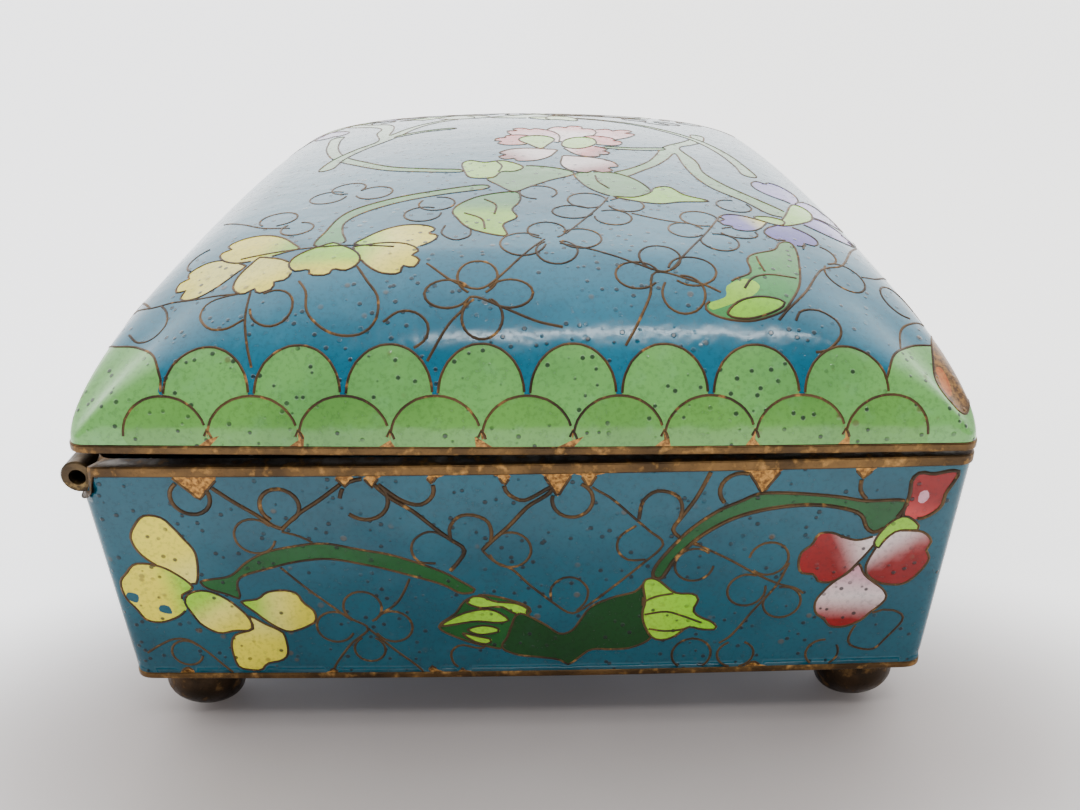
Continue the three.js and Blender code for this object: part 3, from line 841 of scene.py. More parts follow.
# %% Draw the near wall, with heights above the table
def tray_yellow_flower(inlay):
    teal = "tray blue"
    inlay.shape([(-30.6, 18), (-30, 21.2), (-30.8, 23), (-31.5, 24.2), (-32.3, 25.2), (-33.8, 25.4),
                 (-34.9, 24.3), (-35.5, 23), (-35, 21.3), (-33.5, 19.8), (-32, 18.7)], "cream", "yellow",
                "yellow", base=(-30.8, 18), tip=(-33.5, 25))
    inlay.shape([(-31, 17.6), (-32.5, 19.3), (-34, 20.1), (-35.8, 20.2), (-36.8, 19.2), (-37.6, 18.2),
                 (-37.6, 16.5), (-36.8, 15), (-36.2, 13.8), (-34.8, 13.5), (-33, 14.2), (-32, 15.3),
                 (-32.3, 16.6)], "lime", "yellow", "yellow", base=(-31, 17.4), tip=(-37.4, 17))
    inlay.shape([(-36.6, 15.8), (-36.3, 16.7), (-37.2, 17), (-37.5, 16.3)], teal, wired=False)
    inlay.shape([(-33.6, 14.5), (-33.7, 15.4), (-34.5, 15.5), (-34.7, 14.8)], teal, wired=False)
    inlay.shape([(-32.1, 15.8), (-31.6, 16.8), (-30, 17.2), (-28.3, 16.4), (-27, 15), (-26.3, 13.8),
                 (-26.4, 12.6), (-28, 12.5), (-29.5, 12.2), (-31, 13.2), (-31.7, 14.6)], "lime", "cream",
                "yellow", base=(-30, 17.2), tip=(-27, 12.4))
    inlay.shape([(-26.3, 14.2), (-26.2, 12.7), (-28, 12), (-28.6, 10.8), (-28.6, 9), (-28.3, 8), (-27.3, 7.7),
                 (-26.2, 7.7), (-25.5, 8.5), (-24, 8.9), (-23.3, 9.8), (-23.3, 11.8), (-23.7, 12.5),
                 (-25, 13.3)], "cream", "yellow", "yellow", base=(-26, 14), tip=(-26, 8))
    inlay.shape([(-26.8, 15.9), (-25.2, 16.2), (-24.2, 17), (-22.5, 17.2), (-21.4, 16.8), (-21, 15.8),
                 (-20.1, 14.8), (-20.1, 13.6), (-20.8, 13.1), (-21.8, 12.6), (-23, 12.4), (-24.5, 13.4),
                 (-25.8, 14.8)], "lime", "cream", "yellow", base=(-26.6, 15.4), tip=(-20.5, 14.6))


def tray_stems(inlay):
    inlay.shape([(-30.2, 18.2), (-29, 18.5), (-27.2, 18.9), (-25.5, 20.4), (-23.5, 21.5), (-21, 22.1),
                 (-18.2, 22.4), (-15, 21.7), (-12, 21), (-8, 19.3), (-6, 18), (-4.8, 17), (-6.2, 16.7),
                 (-8, 17.8), (-12.5, 19.4), (-15, 20.1), (-18, 20.7), (-21, 20.4), (-23.5, 19.7), (-26, 18.9),
                 (-26.8, 18), (-26.8, 16.3), (-28, 16.8), (-29.6, 17.4)], "stem")
    inlay.shape([(11.6, 18.2), (11.8, 19.5), (13.5, 22), (15, 23.7), (17, 25.3), (19, 26.3), (20.5, 27),
                 (23, 27), (26, 26.7), (28, 26.4), (30, 26), (33.5, 25.9), (33.3, 24.5), (32.3, 23.2),
                 (31.3, 22.6), (30.5, 23.2), (30, 24.3), (29, 25), (26.5, 25.6), (24, 25.7), (21, 25.3),
                 (18.5, 24.5), (16.5, 23.3), (15, 22), (13.5, 20.2), (12.8, 18.8), (12.3, 18)], "stem")


def tray_buds(inlay):
    inlay.shape([(-8.5, 12.8), (-6.8, 14.4), (-5.9, 15.8), (-4.2, 16.5), (-1.2, 15.7), (0.3, 14.6),
                 (-1.2, 12.8), (-1.6, 10.2), (-4, 10.4), (-6.6, 11.4)], "stem")
    inlay.shape([(-5.7, 15.6), (-5.2, 16.3), (-4.2, 16.3), (-3, 15.7), (-1.2, 15.5), (0, 14.8), (-0.3, 14.2),
                 (-1.5, 14.4), (-2.5, 15.1), (-4.4, 15)], "lime")
    inlay.shape([(-8.3, 12.9), (-6.5, 14.2), (-4.5, 14.8), (-3, 14.6), (-1.8, 13.5), (-3, 13.2), (-5, 13.4)],
                "lime")
    inlay.shape([(-5.8, 12.4), (-4.5, 12.9), (-3.2, 12.7), (-2.7, 12.2), (-4.5, 11.8)], "lime")
    inlay.shape([(-6.3, 12), (-5.2, 11), (-4, 10.7), (-3.5, 11.2), (-4.8, 11.6)], "lime")
    inlay.shape([(-0.8, 14.3), (1.5, 13), (3, 11.8), (4.2, 12.2), (5, 13.5), (6, 15), (8, 16), (10, 16.6),
                 (10.9, 17.6), (10.8, 15.5), (11, 13), (11.8, 11.2), (10, 10), (8, 9.8), (6, 9.8), (4.5, 8.5),
                 (3.8, 8), (3, 8.6), (1, 9), (-1, 9.3), (-2.6, 10.2), (-2, 11.5), (-1.6, 12.8)], "calyx")
    inlay.shape([(10.7, 17.5), (11.3, 18.1), (12.2, 17.8), (13.2, 16.8), (14, 16.3), (15.5, 16.2), (16, 15.5),
                 (15.6, 14.3), (16.3, 13.5), (17.6, 12.8), (18, 12), (16.5, 12), (15.3, 12.3), (14, 11.2),
                 (12.8, 10.8), (11.8, 11.2), (11, 12.8), (10.8, 14.2), (11, 15.5)], "lime", "bright lime",
                base=(11, 13), tip=(16, 15))
    inlay.wire([(10.9, 15.4), (12, 16), (13.6, 16.3)])
    inlay.wire([(11, 13.9), (13, 14.2), (14.5, 13.7), (16.5, 12.8)])
    inlay.wire([(11.5, 12.2), (13, 11.9), (14.5, 12), (15.5, 12.4)])


def tray_red_flower(inlay):
    inlay.shape([(31.8, 22.2), (30, 21.8), (28.6, 22.2), (27.5, 22.7), (26.3, 22.6), (25.9, 21.5), (25, 20.6),
                 (24.9, 19.3), (25.3, 18.3), (26.5, 18.1), (27, 17.3), (28.3, 17.2), (29.5, 18.1),
                 (30.5, 19.5), (31.3, 20.8)], "white", "red", "red", base=(31.6, 21.8), tip=(25, 18.8))
    inlay.shape([(32.8, 22.6), (34.2, 22.7), (35.8, 22.5), (36.8, 21.5), (36.5, 20.5), (37, 19.5),
                 (36.2, 17.8), (35.2, 16.8), (34, 16.7), (32.7, 17), (31.5, 17.9), (31.2, 19), (31.6, 20.4),
                 (32.2, 21.8)], "white", "red", "red", base=(32.4, 22.4), tip=(36, 17.2))
    inlay.shape([(30.5, 19.2), (31.2, 18), (32.3, 17), (33.2, 16.3), (33.8, 15.3), (33.3, 14.3), (32.5, 13.5),
                 (31.8, 12.6), (30.3, 11.9), (28.9, 12), (28.2, 12.9), (27.3, 13.6), (27.1, 15), (27.8, 16.3),
                 (28.5, 17.2), (29.7, 18.2)], "pink", "white", "red", base=(30.5, 19), tip=(30, 12))
    inlay.shape([(33.6, 24.3), (33.8, 26.5), (33.7, 28), (34.3, 28.8), (35.5, 28.6), (37, 28.9), (37.8, 28.7),
                 (37.4, 27.5), (37, 26.5), (36.9, 25.2), (35.9, 24.2), (34.8, 23.9)], "rose", "red", "red",
                base=(34.6, 23.9), tip=(36, 28.6))
    inlay.shape([(34.7, 25.8), (35.2, 25.6), (35.6, 26.2), (35.3, 26.9), (34.7, 26.7)], "pink", wired=False)
    inlay.shape([(31.5, 21.5), (32, 22.8), (32.8, 23.8), (33.8, 24.3), (34.6, 23.9), (35.3, 23.2),
                 (35.2, 22.7), (33.5, 22.7), (32.5, 21.8), (32, 20.8)], "lime")


def tray_wires(inlay):
    inlay.loops(loop((-29.3, 27.3), 1.75, 100), loop((-21.6, 26.4), 1.75, 265, 60),
                loop((-24.3, 23.2), 1.85, 10), loop((-14.1, 27), 2.1, 200), loop((4.1, 26.7), 1.8, 90),
                loop((-1.5, 21.5), 1.9, 170), loop((18.7, 27.4), 1.75, 250), loop((15.3, 19.5), 1.8, 20),
                loop((22.1, 20), 1.8, 200), loop((20.4, 16.5), 1.8, 40), loop((23.9, 15), 1.8, 130),
                loop((15.8, 9), 1.9, 270), loop((20.1, 8.9), 1.6, 90, stretch=1.12),
                loop((28.6, 8.8), 1.6, 60), loop((-33.1, 9.8), 1.5, 10), loop((-15.5, 15.2), 1.8, 270),
                loop((-18.3, 12.9), 1.8, 0), loop((-12.8, 12.9), 1.8, 180), loop((-15.3, 10.2), 1.5, 90))
    for points in (
            [(-27.2, 28.3), (-25.5, 26.8), (-23.8, 25.5), (-22.3, 24.2), (-21.5, 24)],
            [(-21.8, 23.9), (-20, 25.6), (-18, 27), (-15.6, 28.9)],
            [(-21.8, 23.7), (-20.3, 23.2), (-19.2, 22.5)],
            [(-13.7, 29.3), (-12, 27.3), (-10, 25.8), (-8, 23.8), (-6.8, 22.7), (-5.6, 21.6), (-6.2, 20.3),
             (-7, 19.3)],
            [(-13, 28.8), (-11, 27), (-9.3, 26.4), (-8.1, 27.3), (-8, 28.5), (-8.3, 29.4)],
            [(-6.8, 22.7), (-8.5, 23.6), (-10, 22.8), (-10.4, 21.5), (-9.8, 20.3), (-8.3, 20.1)],
            [(-6.8, 22.7), (-6.8, 24), (-6, 25.1), (-4.8, 25.3), (-3.5, 24.7), (-3.1, 23.5), (-3.2, 22.5)],
            [(-4, 21.5), (-3, 22.6), (-1.6, 24), (-0.6, 25.2), (0.3, 26.2), (2.2, 27.6), (2.8, 29.3)],
            [(-1.9, 29.3), (-1.7, 27.7), (-0.6, 26.8), (0.3, 26.9), (2.2, 28.1)],
            [(-4, 21.5), (-3, 20.3), (-1.3, 19.3), (0, 17.8), (1.3, 16.5), (2.6, 15.3), (4.1, 14.2),
             (5.5, 15),
             (7.5, 16.8), (10.2, 19.4), (12.3, 21.8), (11, 23.3), (9.5, 24.8), (7.5, 26.8), (5.8, 28),
             (5, 29.3)],
            [(9.8, 23.9), (8.4, 22.8), (8.2, 21.3), (9.2, 20.2), (10.8, 20.2)],
            [(2.2, 15.7), (2.2, 17.2), (3.3, 18.3), (4.6, 18.2), (5.6, 17), (5.4, 15.5), (4.6, 14.5)],
            [(10, 24.6), (10.3, 26.5), (11.5, 27.5), (13.2, 27), (13.8, 25.7), (13.6, 24.4)],
            [(16, 29.3), (15, 26.8), (13.9, 24.9), (13.1, 23.4), (14, 22.4), (15.5, 21.7)],
            [(15.5, 21.7), (18.5, 20), (21, 18.4), (23.2, 17.2), (25, 16.6), (25.8, 16)],
            [(24, 19.5), (23.3, 17.3), (22.3, 15.6), (21.2, 14), (20.2, 12.3), (19.3, 11), (18.4, 10.3)],
            [(33.7, 13.8), (32, 13), (31, 11), (31.3, 9.6), (33.5, 9), (34.6, 10.3), (35.9, 12.6), (35, 13.6),
             (33.7, 13.8)],
            [(29.3, 29.3), (29.3, 27.2), (30, 26.2)],
            [(-37, 9.8), (-35.5, 10.8), (-34, 11.5), (-32.5, 11.3), (-31, 9.8), (-30, 8.5), (-29.1, 7.4)],
            [(-22.5, 19.8), (-20.5, 17.5), (-18, 15), (-17, 14), (-15.2, 12.7), (-17, 10.9), (-18.7, 8.5),
             (-19.2, 7.4)],
            [(-15.2, 12.7), (-13, 10.2), (-11, 8.2), (-10.4, 7.4)], [(-10.2, 19.9), (-12, 16), (-14, 14.3)],
            [(-3.2, 10.5), (-4.8, 10.2), (-6.5, 10.6), (-7.5, 9.7), (-7.3, 8.3), (-6.5, 7.6)]):
        inlay.wire(points)


def webs(inlay, places, edge, down):
    """Small wedges of bare brass where a wire meets a band."""
    for middle, width, depth in places:
        tip = edge + down * depth
        inlay.shape([(middle - width / 2, edge - down), (middle + width / 2, edge - down),
                     (middle + width / 2, edge), (middle + width * 0.15, tip - down * depth * 0.3), (middle,
                                                                                                     tip),
                     (middle - width * 0.15, tip - down * depth * 0.3), (middle - width / 2, edge)],
                    "gold web", metal=1.0)


near_wall = Inlay()
for draw in (tray_wires, tray_stems, tray_yellow_flower, tray_buds, tray_red_flower):
    draw(near_wall)
near_wall.wires = [(line, 1.35 if line[:, 1].mean() > 23.5 else thick, after)
                   for line, thick, after in near_wall.wires]
webs(near_wall, [(-28.5, 4.2, 2.4), (-15.6, 2, 1.2), (-13.3, 1.6, 1.3), (-8.1, 1.2, 1), (-1.8, 1.4, 1.2),
                 (2.8, 2.6, 2.4), (5.5, 1.6, 1.6), (20.7, 3, 2.5), (29.4, 2, 1.2)], 29.5, -1)
webs(near_wall, [(-33.5, 1.8, 0.9), (-19.2, 1.2, 0.7), (-9.4, 1.4, 0.9), (22, 2, 0.8), (-6.5, 1, 0.6)], 7.2,
     1)


def filler(inlay, middle):
    """Loops for the plainer stretches of the long walls."""
    inlay.loops(*blossom((middle, 14), 1.7), *blossom((middle + 5.5, 23.2), 1.7, turn=20), loop((middle - 4.6,
                                                                                                 25),
                 1.8, 60), loop((middle - 4.9, 9.6), 1.6, 120), loop((middle + 4.8, 9.4), 1.6, 30))
    inlay.wire([(middle - 6, 29.3), (middle - 4.2, 22.4), (middle, 14), (middle + 3.4, 18.8), (middle + 7,
                                                                                               29.3)])
    inlay.wire([(middle - 5, 7.4), (middle - 2.4, 10), (middle, 14), (middle + 2.6, 10.4), (middle + 6.4,
                                                                                            7.4)])


def part_of(inlay, low, high, shift):
    """The cells and wires whose middles lie between two places along the wall."""
    part = Inlay()
    part.cells = [cell for cell in inlay.cells if low <= cell[0][:, 0].mean() < high]
    order = [i for i, cell in enumerate(inlay.cells) if low <= cell[0][:, 0].mean() < high]
    for line, thick, after in inlay.wires:
        if low <= line[:, 0].mean() < high:
            part.wires.append((line, thick, sum(i < after for i in order)))
    return part.moved((shift, 0))


tray_inlay = Inlay()
long_wall = Inlay()
for piece in (part_of(near_wall, -40, -8, -9.5), part_of(near_wall, -8, 19, 1.5),
              part_of(near_wall, 19, 40, 9.5)):
    long_wall.add(piece)
filler(long_wall, -11.5)
filler(long_wall, 25)
violet_far = {"yellow": "violet", "cream": "lavender", "red": "yellow", "white": "cream", "pink": "cream",
              "rose": "yellow"}
pink_front = {"yellow": "rose", "cream": "white", "red": "violet", "white": "lavender", "pink": "lavender",
              "rose": "violet"}
tray_inlay.add(near_wall.moved((NEAR_MIDDLE, 0)))
tray_inlay.add(near_wall.moved((FAR_MIDDLE, 0), recolour=violet_far))
tray_inlay.add(long_wall.moved((FRONT_MIDDLE, 0), recolour=pink_front))
tray_inlay.add(long_wall.moved((0, 0)))
tray_inlay.add(long_wall.moved((ROUND, 0)))
print("tray:", len(tray_inlay.cells), "cells,", len(tray_inlay.wires), "wires")

# %% [markdown]
# ## The tray
#
# The strip is wrapped round the four walls. Along the back it ends lower, at the groove that the hinge
# barrel lies in. Inside, the walls run down to a flat floor with a rounded corner, as one skin with the
# mouth's edge, the wall and the underside.

# %% The tray's mesh
WALL_LOW, WALL_HIGH = FOOT_HEIGHT + BOTTOM_BAND + JOIN, MOUTH_Z - MOUTH_BAND - JOIN
CHANNEL = BARREL_RADIUS + 0.3


def wall_top(x):
    """The height of the wall's edge: lower where the hinge groove passes."""
    reach = np.abs(x - HINGE_X)
    groove = HINGE_Z - np.sqrt(np.maximum(CHANNEL ** 2 - np.minimum(reach, CHANNEL) ** 2, 0))
    return np.where((x < HINGE_X + CHANNEL - 0.06) & (reach < CHANNEL), groove, WALL_HIGH)


way_columns = mouth_way[:-1]
top_columns = wall_top(wall_surface(np.stack([way_columns, np.full(360, 28.5)], -1))[:, 0])
seam = np.linspace(WALL_LOW, top_columns[0], 20)
boundary = [(w, WALL_LOW) for w in way_columns] + [(ROUND, z) for z in seam]
boundary += [(w, z) for w,
             z in zip(way_columns[:0:-1], top_columns[:0:-1])] + [(0.0, z) for z in seam[::-1]][:-1]
boundary = np.array(boundary)


def on_wall(strip, margin=0.12):
    x = np.interp(strip[:, 0] % ROUND, mouth_way, mouth_line[:, 0])
    top = np.minimum(wall_top(x - 0.1), wall_top(x + 0.1))
    inside = (strip[:, 1] > WALL_LOW + margin) & (strip[:, 1] < top - margin)
    return inside & (strip[:, 0] > margin) & (strip[:, 0] < ROUND - margin)


def wall_facing(surface, strip, step=0.05):
    along = surface(strip + (step, 0)) - surface(strip - (step, 0))
    up = surface(strip + (0, step)) - surface(strip - (0, step))
    normal = np.cross(along, up)
    return normal / np.linalg.norm(normal, axis=-1, keepdims=True)


corner_ways = [way_at(sx * WIDTH, sy * LENGTH) for sx in (-1, 1) for sy in (-1, 1)]
corner_points = [(w + d, z) for w in corner_ways for d in np.arange(-1.8, 1.9, 0.3) for z in np.arange(7.6,
        29.2, 1.0)]
# The ground is the tray's darker blue, which carries painted shade.
flat, triangles, colours = inlaid(boundary, tray_inlay, "tray blue", 1.05, on_wall, [corner_points])
tray = Skin()
tray.add(wall_surface(flat), triangles, colours, normals=wall_facing(wall_surface, flat))


def wall_ring(z, deeper=0.0, high=None):
    """A ring of the wall with the strip's own columns."""
    heights = np.full(360, float(z))
    ring_points = wall_surface(np.stack([way_columns, heights], -1), deeper)
    if high is not None:
        ring_points[:, 2] = np.minimum(high(ring_points[:, 0]), heights)
    return ring_points


floor_z = FOOT_HEIGHT + BOTTOM_BAND + 0.3 + WALL
rim_outer = wall_surface(np.stack([way_columns, top_columns], -1))
rim_rings = [rim_outer] + [wall_ring(WALL_HIGH, deeper, wall_top) for deeper in (WALL / 2, WALL)]
points, faces = loft(rim_rings)
tray.add(points, faces)
inside_rings = [rim_rings[-1]]
for share in np.linspace(0, 1, 10)[1:-1]:
    z = rim_rings[-1][:, 2] * (1 - share) + (floor_z + FLOOR_FILLET) * share
    inside_rings.append(wall_surface(np.stack([way_columns, z], -1), WALL))
for angle in np.linspace(0, np.pi / 2, 6):
    z = floor_z + FLOOR_FILLET * (1 - math.sin(angle))
    inside_rings.append(wall_ring(z, WALL + FLOOR_FILLET * (1 - math.cos(angle))))
for share in (0.75, 0.66, 0.66):
    inside_rings.append(inside_rings[-1] * (share, share, 1))
points, faces = loft(inside_rings, closed_end=True)
tray.add(points, faces)
under = wall_surface(np.stack([way_columns, np.full(360, WALL_LOW)], -1))
points, faces = loft([under, under * (0.97, 0.97, 1), under * (0.5, 0.5, 1)], closed_end=True)
tray.add(points, faces)
tray_glass = tray.build("tray_glass", tray_place)
tray_wires_mesh = wires_on("tray_wires", tray_inlay, wall_surface, wall_facing, tray_place,
                           lambda line: on_wall(line, 0.05))
print("tray:", len(tray_glass.data.polygons), "triangles; wires:", len(tray_wires_mesh.data.polygons))

# %% [markdown]
# ## Bands, hinge and feet
#
# The brass round the mouth, the lid and the bottom is a strip bent round the box, with its edges worn
# round. The barrels of the hinge and the ball feet are turned parts, so each is a profile spun round
# its axis. The leaves of the hinge lie inside the walls, on flat tabs with bevelled edges.

# %% Bands
def band_skin(name, inset, low, high, place, cut=None):
    """A strip of brass round the box, with rounded outer edges."""
    soft = 0.16
    section = [(inset + BAND_WIDTH, low), (inset + BAND_WIDTH, high)]
    for start, corner_z, sign in ((90, high, 1), (180, low, -1)):
        for step in range(4):
            angle = math.radians(start + 30 * step)
            section.append((inset + soft + soft * math.cos(angle),
                            corner_z - sign * soft + soft * math.sin(angle)))
    rings = []
    for deep, z in section:
        plan = turn_to_back(ring(deep))
        height = np.full(360, z) if cut is None else np.minimum(z, cut(plan[:, 0], z))
        rings.append(np.column_stack([plan, height]))
    skin = Skin()
    points, faces = loft(rings + rings[:1])
    skin.add(points, faces[:, ::-1], "gold web", 1.0)
    return skin.build(name, place)


def groove_cut(x, z):
    reach = np.minimum(np.abs(x - HINGE_X), CHANNEL)
    groove = HINGE_Z - np.sqrt(CHANNEL ** 2 - reach ** 2)
    inside = (x < HINGE_X + CHANNEL - 0.3)
    return np.where(inside, np.minimum(groove, MOUTH_Z - MOUTH_BAND) + 0.05 * (z - MOUTH_Z + MOUTH_BAND), z)


low_inset = TRAY_TAPER - BAND_PROUD
lid_band = band_skin("lid_brass", -BAND_PROUD, 0, LID_BAND, lid_place)
mouth_band = band_skin("mouth_brass", -BAND_PROUD, MOUTH_Z - MOUTH_BAND, MOUTH_Z, tray_place, groove_cut)
bottom_band = band_skin("bottom_brass", low_inset, FOOT_HEIGHT, FOOT_HEIGHT + BOTTOM_BAND, tray_place)
print("bands:", [len(o.data.polygons) for o in (lid_band, mouth_band, bottom_band)], "triangles")


# %% Hinge and feet
def spun(bm, profile, centre, axis, steps=48):
    """A closed profile of points spun all the way round an axis."""
    verts = [bm.verts.new(Vector(p) * MM) for p in profile]
    edges = [bm.edges.new((a, b)) for a, b in zip(verts, verts[1:] + verts[:1])]
    bmesh.ops.spin(bm, geom=verts + edges, cent=Vector(centre) * MM, axis=axis, angle=math.tau,
                   steps=steps, use_merge=True)


def plate(bm, low, high, soft=0.12):
    """A flat plate with bevelled edges."""
    made = bmesh.ops.create_cube(bm, size=1)["verts"]
    size, middle = np.subtract(high, low) * MM, np.add(high, low) / 2 * MM
    bmesh.ops.scale(bm, verts=made, vec=Vector(size))
    bmesh.ops.translate(bm, verts=made, vec=Vector(middle))
    edges = list({edge for vert in made for edge in vert.link_edges})
    bmesh.ops.bevel(bm, geom=edges, offset=soft * MM, segments=2, profile=0.5, affect="EDGES", material=-1)


def finish_mesh(name, bm, sharp=35):
    bmesh.ops.remove_doubles(bm, verts=bm.verts, dist=1e-7)
    bmesh.ops.recalc_face_normals(bm, faces=bm.faces)
    mesh = bpy.data.meshes.new(name)
    bm.to_mesh(mesh)
    bm.free()
    mesh.shade_smooth()
    mesh.set_sharp_from_angle(angle=math.radians(sharp))
    return add_object(name, mesh)


def hinge_part(name, first, tab_x, tab_z, leaf_x, leaf_z):
    bm = bmesh.new()
    pitch, leaf = BARREL_LENGTH / 5, 38.5
    spans = []
    for i in range(first, 5, 2):
        low = -BARREL_LENGTH / 2 + i * pitch + (0.15 if i > 0 else 0)
        high = -BARREL_LENGTH / 2 + (i + 1) * pitch - (0.15 if i < 4 else 0)
        spans.append((low, high))
        x, z, r, c = HINGE_X + OVERHANG, HINGE_Z, BARREL_RADIUS, 0.15
        profile = [(BARREL_BORE, low), (r - c, low), (r, low + c), (r, high - c), (r - c, high),
                   (BARREL_BORE, high)]
        spun(bm, [(x, y, z + radius) for radius, y in profile], (x, 0, z), (0, 1, 0))
        plate(bm, (x + tab_x[0], max(low, -leaf) + 0.05, z + tab_z[0]),
              (x + tab_x[1], min(high, leaf) - 0.05, z + tab_z[1]))
    ends = max(spans[0][0], -leaf), min(spans[-1][1], leaf)
    plate(bm, (x + leaf_x[0], ends[0], z + leaf_z[0]), (x + leaf_x[1], ends[1], z + leaf_z[1]))
    return finish_mesh(name, bm)


under_band = BARREL_DROP + BACK_GAP - 0.3
tray_hinge = hinge_part("tray_barrels", 0, (1.1, 2.9), (-0.5, 0.4), (2.3, 2.9), (-4.6, -0.4))
lid_hinge = hinge_part("lid_barrels", 1, (-0.8, 2.6), (0.75, under_band), (2.0, 2.6),
                       (under_band - 0.6, under_band + 2.5))
FOOT, FLAT, LEAN, NECK = 3.85, 0.15, 0.3, 2.0
FOOT_INSET_X, FOOT_INSET_Y = 5.8, 5.5
feet = []
for name, sx, sy in (("back_near", -1, -1), ("back_far", -1, 1), ("front_near", 1, -1), ("front_far", 1, 1)):
    bm = bmesh.new()
    middle, top = FOOT - FLAT, FOOT_HEIGHT + BOTTOM_BAND - 0.02
    first, last = math.acos(middle / FOOT), math.pi - math.asin(NECK / FOOT)
    arc = [first + (last - first) * i / 20 for i in range(21)]
    profile = [(0, 0)] + [(FOOT * math.sin(a), middle - FOOT * math.cos(a)) for a in arc] + [(NECK, top),
            (0, top)]
    verts = [bm.verts.new(Vector((r, 0, z)) * MM) for r, z in profile]
    edges = [bm.edges.new(pair) for pair in zip(verts, verts[1:])]
    bmesh.ops.spin(bm, geom=verts + edges, cent=(0, 0, 0), axis=(0, 0, 1), angle=math.tau, steps=48,
                   use_merge=True)
    centre = Vector((sx * (WIDTH / 2 - TRAY_TAPER - FOOT_INSET_X) + OVERHANG,
                     sy * (LENGTH / 2 - TRAY_TAPER - FOOT_INSET_Y), 0)) * MM
    for vert in bm.verts:
        drop = max(middle * MM - vert.co.z, 0)
        shift = LEAN * drop * drop / (FOOT * MM)
        vert.co += centre + Vector((-sx * shift, -sy * shift, 0))
    feet.append(finish_mesh("ball_" + name, bm, 60))
bm = bmesh.new()
PIN_RADIUS, PIN_SET_BACK = 0.68, 1.6
reach = BARREL_LENGTH / 2 - PIN_SET_BACK
spun(bm, [(HINGE_X + OVERHANG, y, HINGE_Z + r) for r, y in
          ((0.001, -reach), (0.55, -reach), (PIN_RADIUS, 0.15 - reach), (PIN_RADIUS, reach - 0.15),
           (0.55, reach), (0.001, reach))],
     (HINGE_X + OVERHANG, 0, HINGE_Z), (0, 1, 0), 24)
pin = finish_mesh("pin_brass", bm)
for made, nodes in ((lid_glass, ["lid_shell"]), (lid_band, ["lid_band"]), (lid_hinge, ["lid_hinge"])):
    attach(made, "lid")
    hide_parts(*nodes)
for made, nodes in ((tray_glass, ["tray_body"]), (mouth_band, ["tray_mouth_band"]),
                    (bottom_band, ["tray_bottom_band"]),
                    (tray_hinge, ["tray_hinge"]), (pin, ["hinge_pin"])):
    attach(made, "tray")
    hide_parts(*nodes)
for foot, name in zip(feet, ("back_near", "back_far", "front_near", "front_far")):
    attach(foot, "tray")
    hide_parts("foot_" + name)
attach(lid_wires_mesh, "lid")
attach(tray_wires_mesh, "tray")
print("hinge:", len(tray_hinge.data.polygons), "+", len(lid_hinge.data.polygons), "faces; feet:", len(feet))

# %% [markdown]
# ## Finishes
#
# A finish is a small graph of nodes. `Value` lets it be written as arithmetic, so that a line such as
# `base + 0.1 * grain` reads as what it does. Colours are mixed with `mix`.

# %% A small language for finishes
class Value:
    """The number on a socket. Arithmetic on it adds Math nodes."""

    def __init__(self, finish, socket):
        self.finish, self.socket = finish, socket

    def math(self, operation, *values):
        return self.finish.node("ShaderNodeMath", {"operation": operation}, *values)

    def __add__(self, other): return self.math("ADD", self, other)
    def __sub__(self, other): return self.math("SUBTRACT", self, other)
    def __mul__(self, other): return self.math("MULTIPLY", self, other)
    def __rsub__(self, other): return self.math("SUBTRACT", other, self)
    __radd__, __rmul__ = __add__, __mul__

    def between(self, low, high):
        """0 below `low`, 1 above `high`, and smooth between."""
        settings = {"interpolation_type": "SMOOTHSTEP"}
        return self.finish.node("ShaderNodeMapRange", settings, self, low, high, 0.0, 1.0)


class Finish:
    """A material and the nodes that make it."""

    def __init__(self, name):
        self.material = bpy.data.materials.new(name)
        self.material.use_nodes = True
        self.tree = self.material.node_tree
        self.shader = self.tree.nodes["Principled BSDF"]
        self.place = self.node("ShaderNodeTexCoord", output="Object")

    def node(self, kind, settings=None, *values, output=None, **named):
        node = self.tree.nodes.new(kind)
        for key, setting in (settings or {}).items():
            setattr(node, key, setting)
        for key, value in [*enumerate(values), *named.items()]:
            self.feed(node.inputs[key.replace("_", " ") if isinstance(key, str) else key], value)
        chosen = [socket for socket in node.outputs if socket.enabled]
        return Value(self, node.outputs[output] if output else chosen[0])

    def feed(self, socket, value):
        if isinstance(value, Value):
            self.tree.links.new(value.socket, socket)
        else:
            socket.default_value = value

    def set(self, **inputs):
        for name, value in inputs.items():
            self.feed(self.shader.inputs[name.replace("_", " ")], value)

    def noise(self, scale, detail=3.0):
        return self.node("ShaderNodeTexNoise", None, Vector=self.place, Scale=scale, Detail=detail,
                         Roughness=0.55, output="Fac")

    def spots(self, scale):
        return self.node("ShaderNodeTexVoronoi", None, Vector=self.place, Scale=scale, output="Distance")

    def mix(self, factor, first, second, blend="MIX"):
        node = self.tree.nodes.new("ShaderNodeMix")
        node.data_type, node.blend_type = "RGBA", blend
        for index, value in ((0, factor), (6, first), (7, second)):
            self.feed(node.inputs[index], value)
        return Value(self, node.outputs[2])

    def bump(self, height, strength, distance, normal=None):
        more = {} if normal is None else {"Normal": normal}
        return self.node("ShaderNodeBump", None, Height=height, Strength=strength, Distance=distance, **more)


def solid(red, green, blue):
    return (*linear(red, green, blue), 1.0)


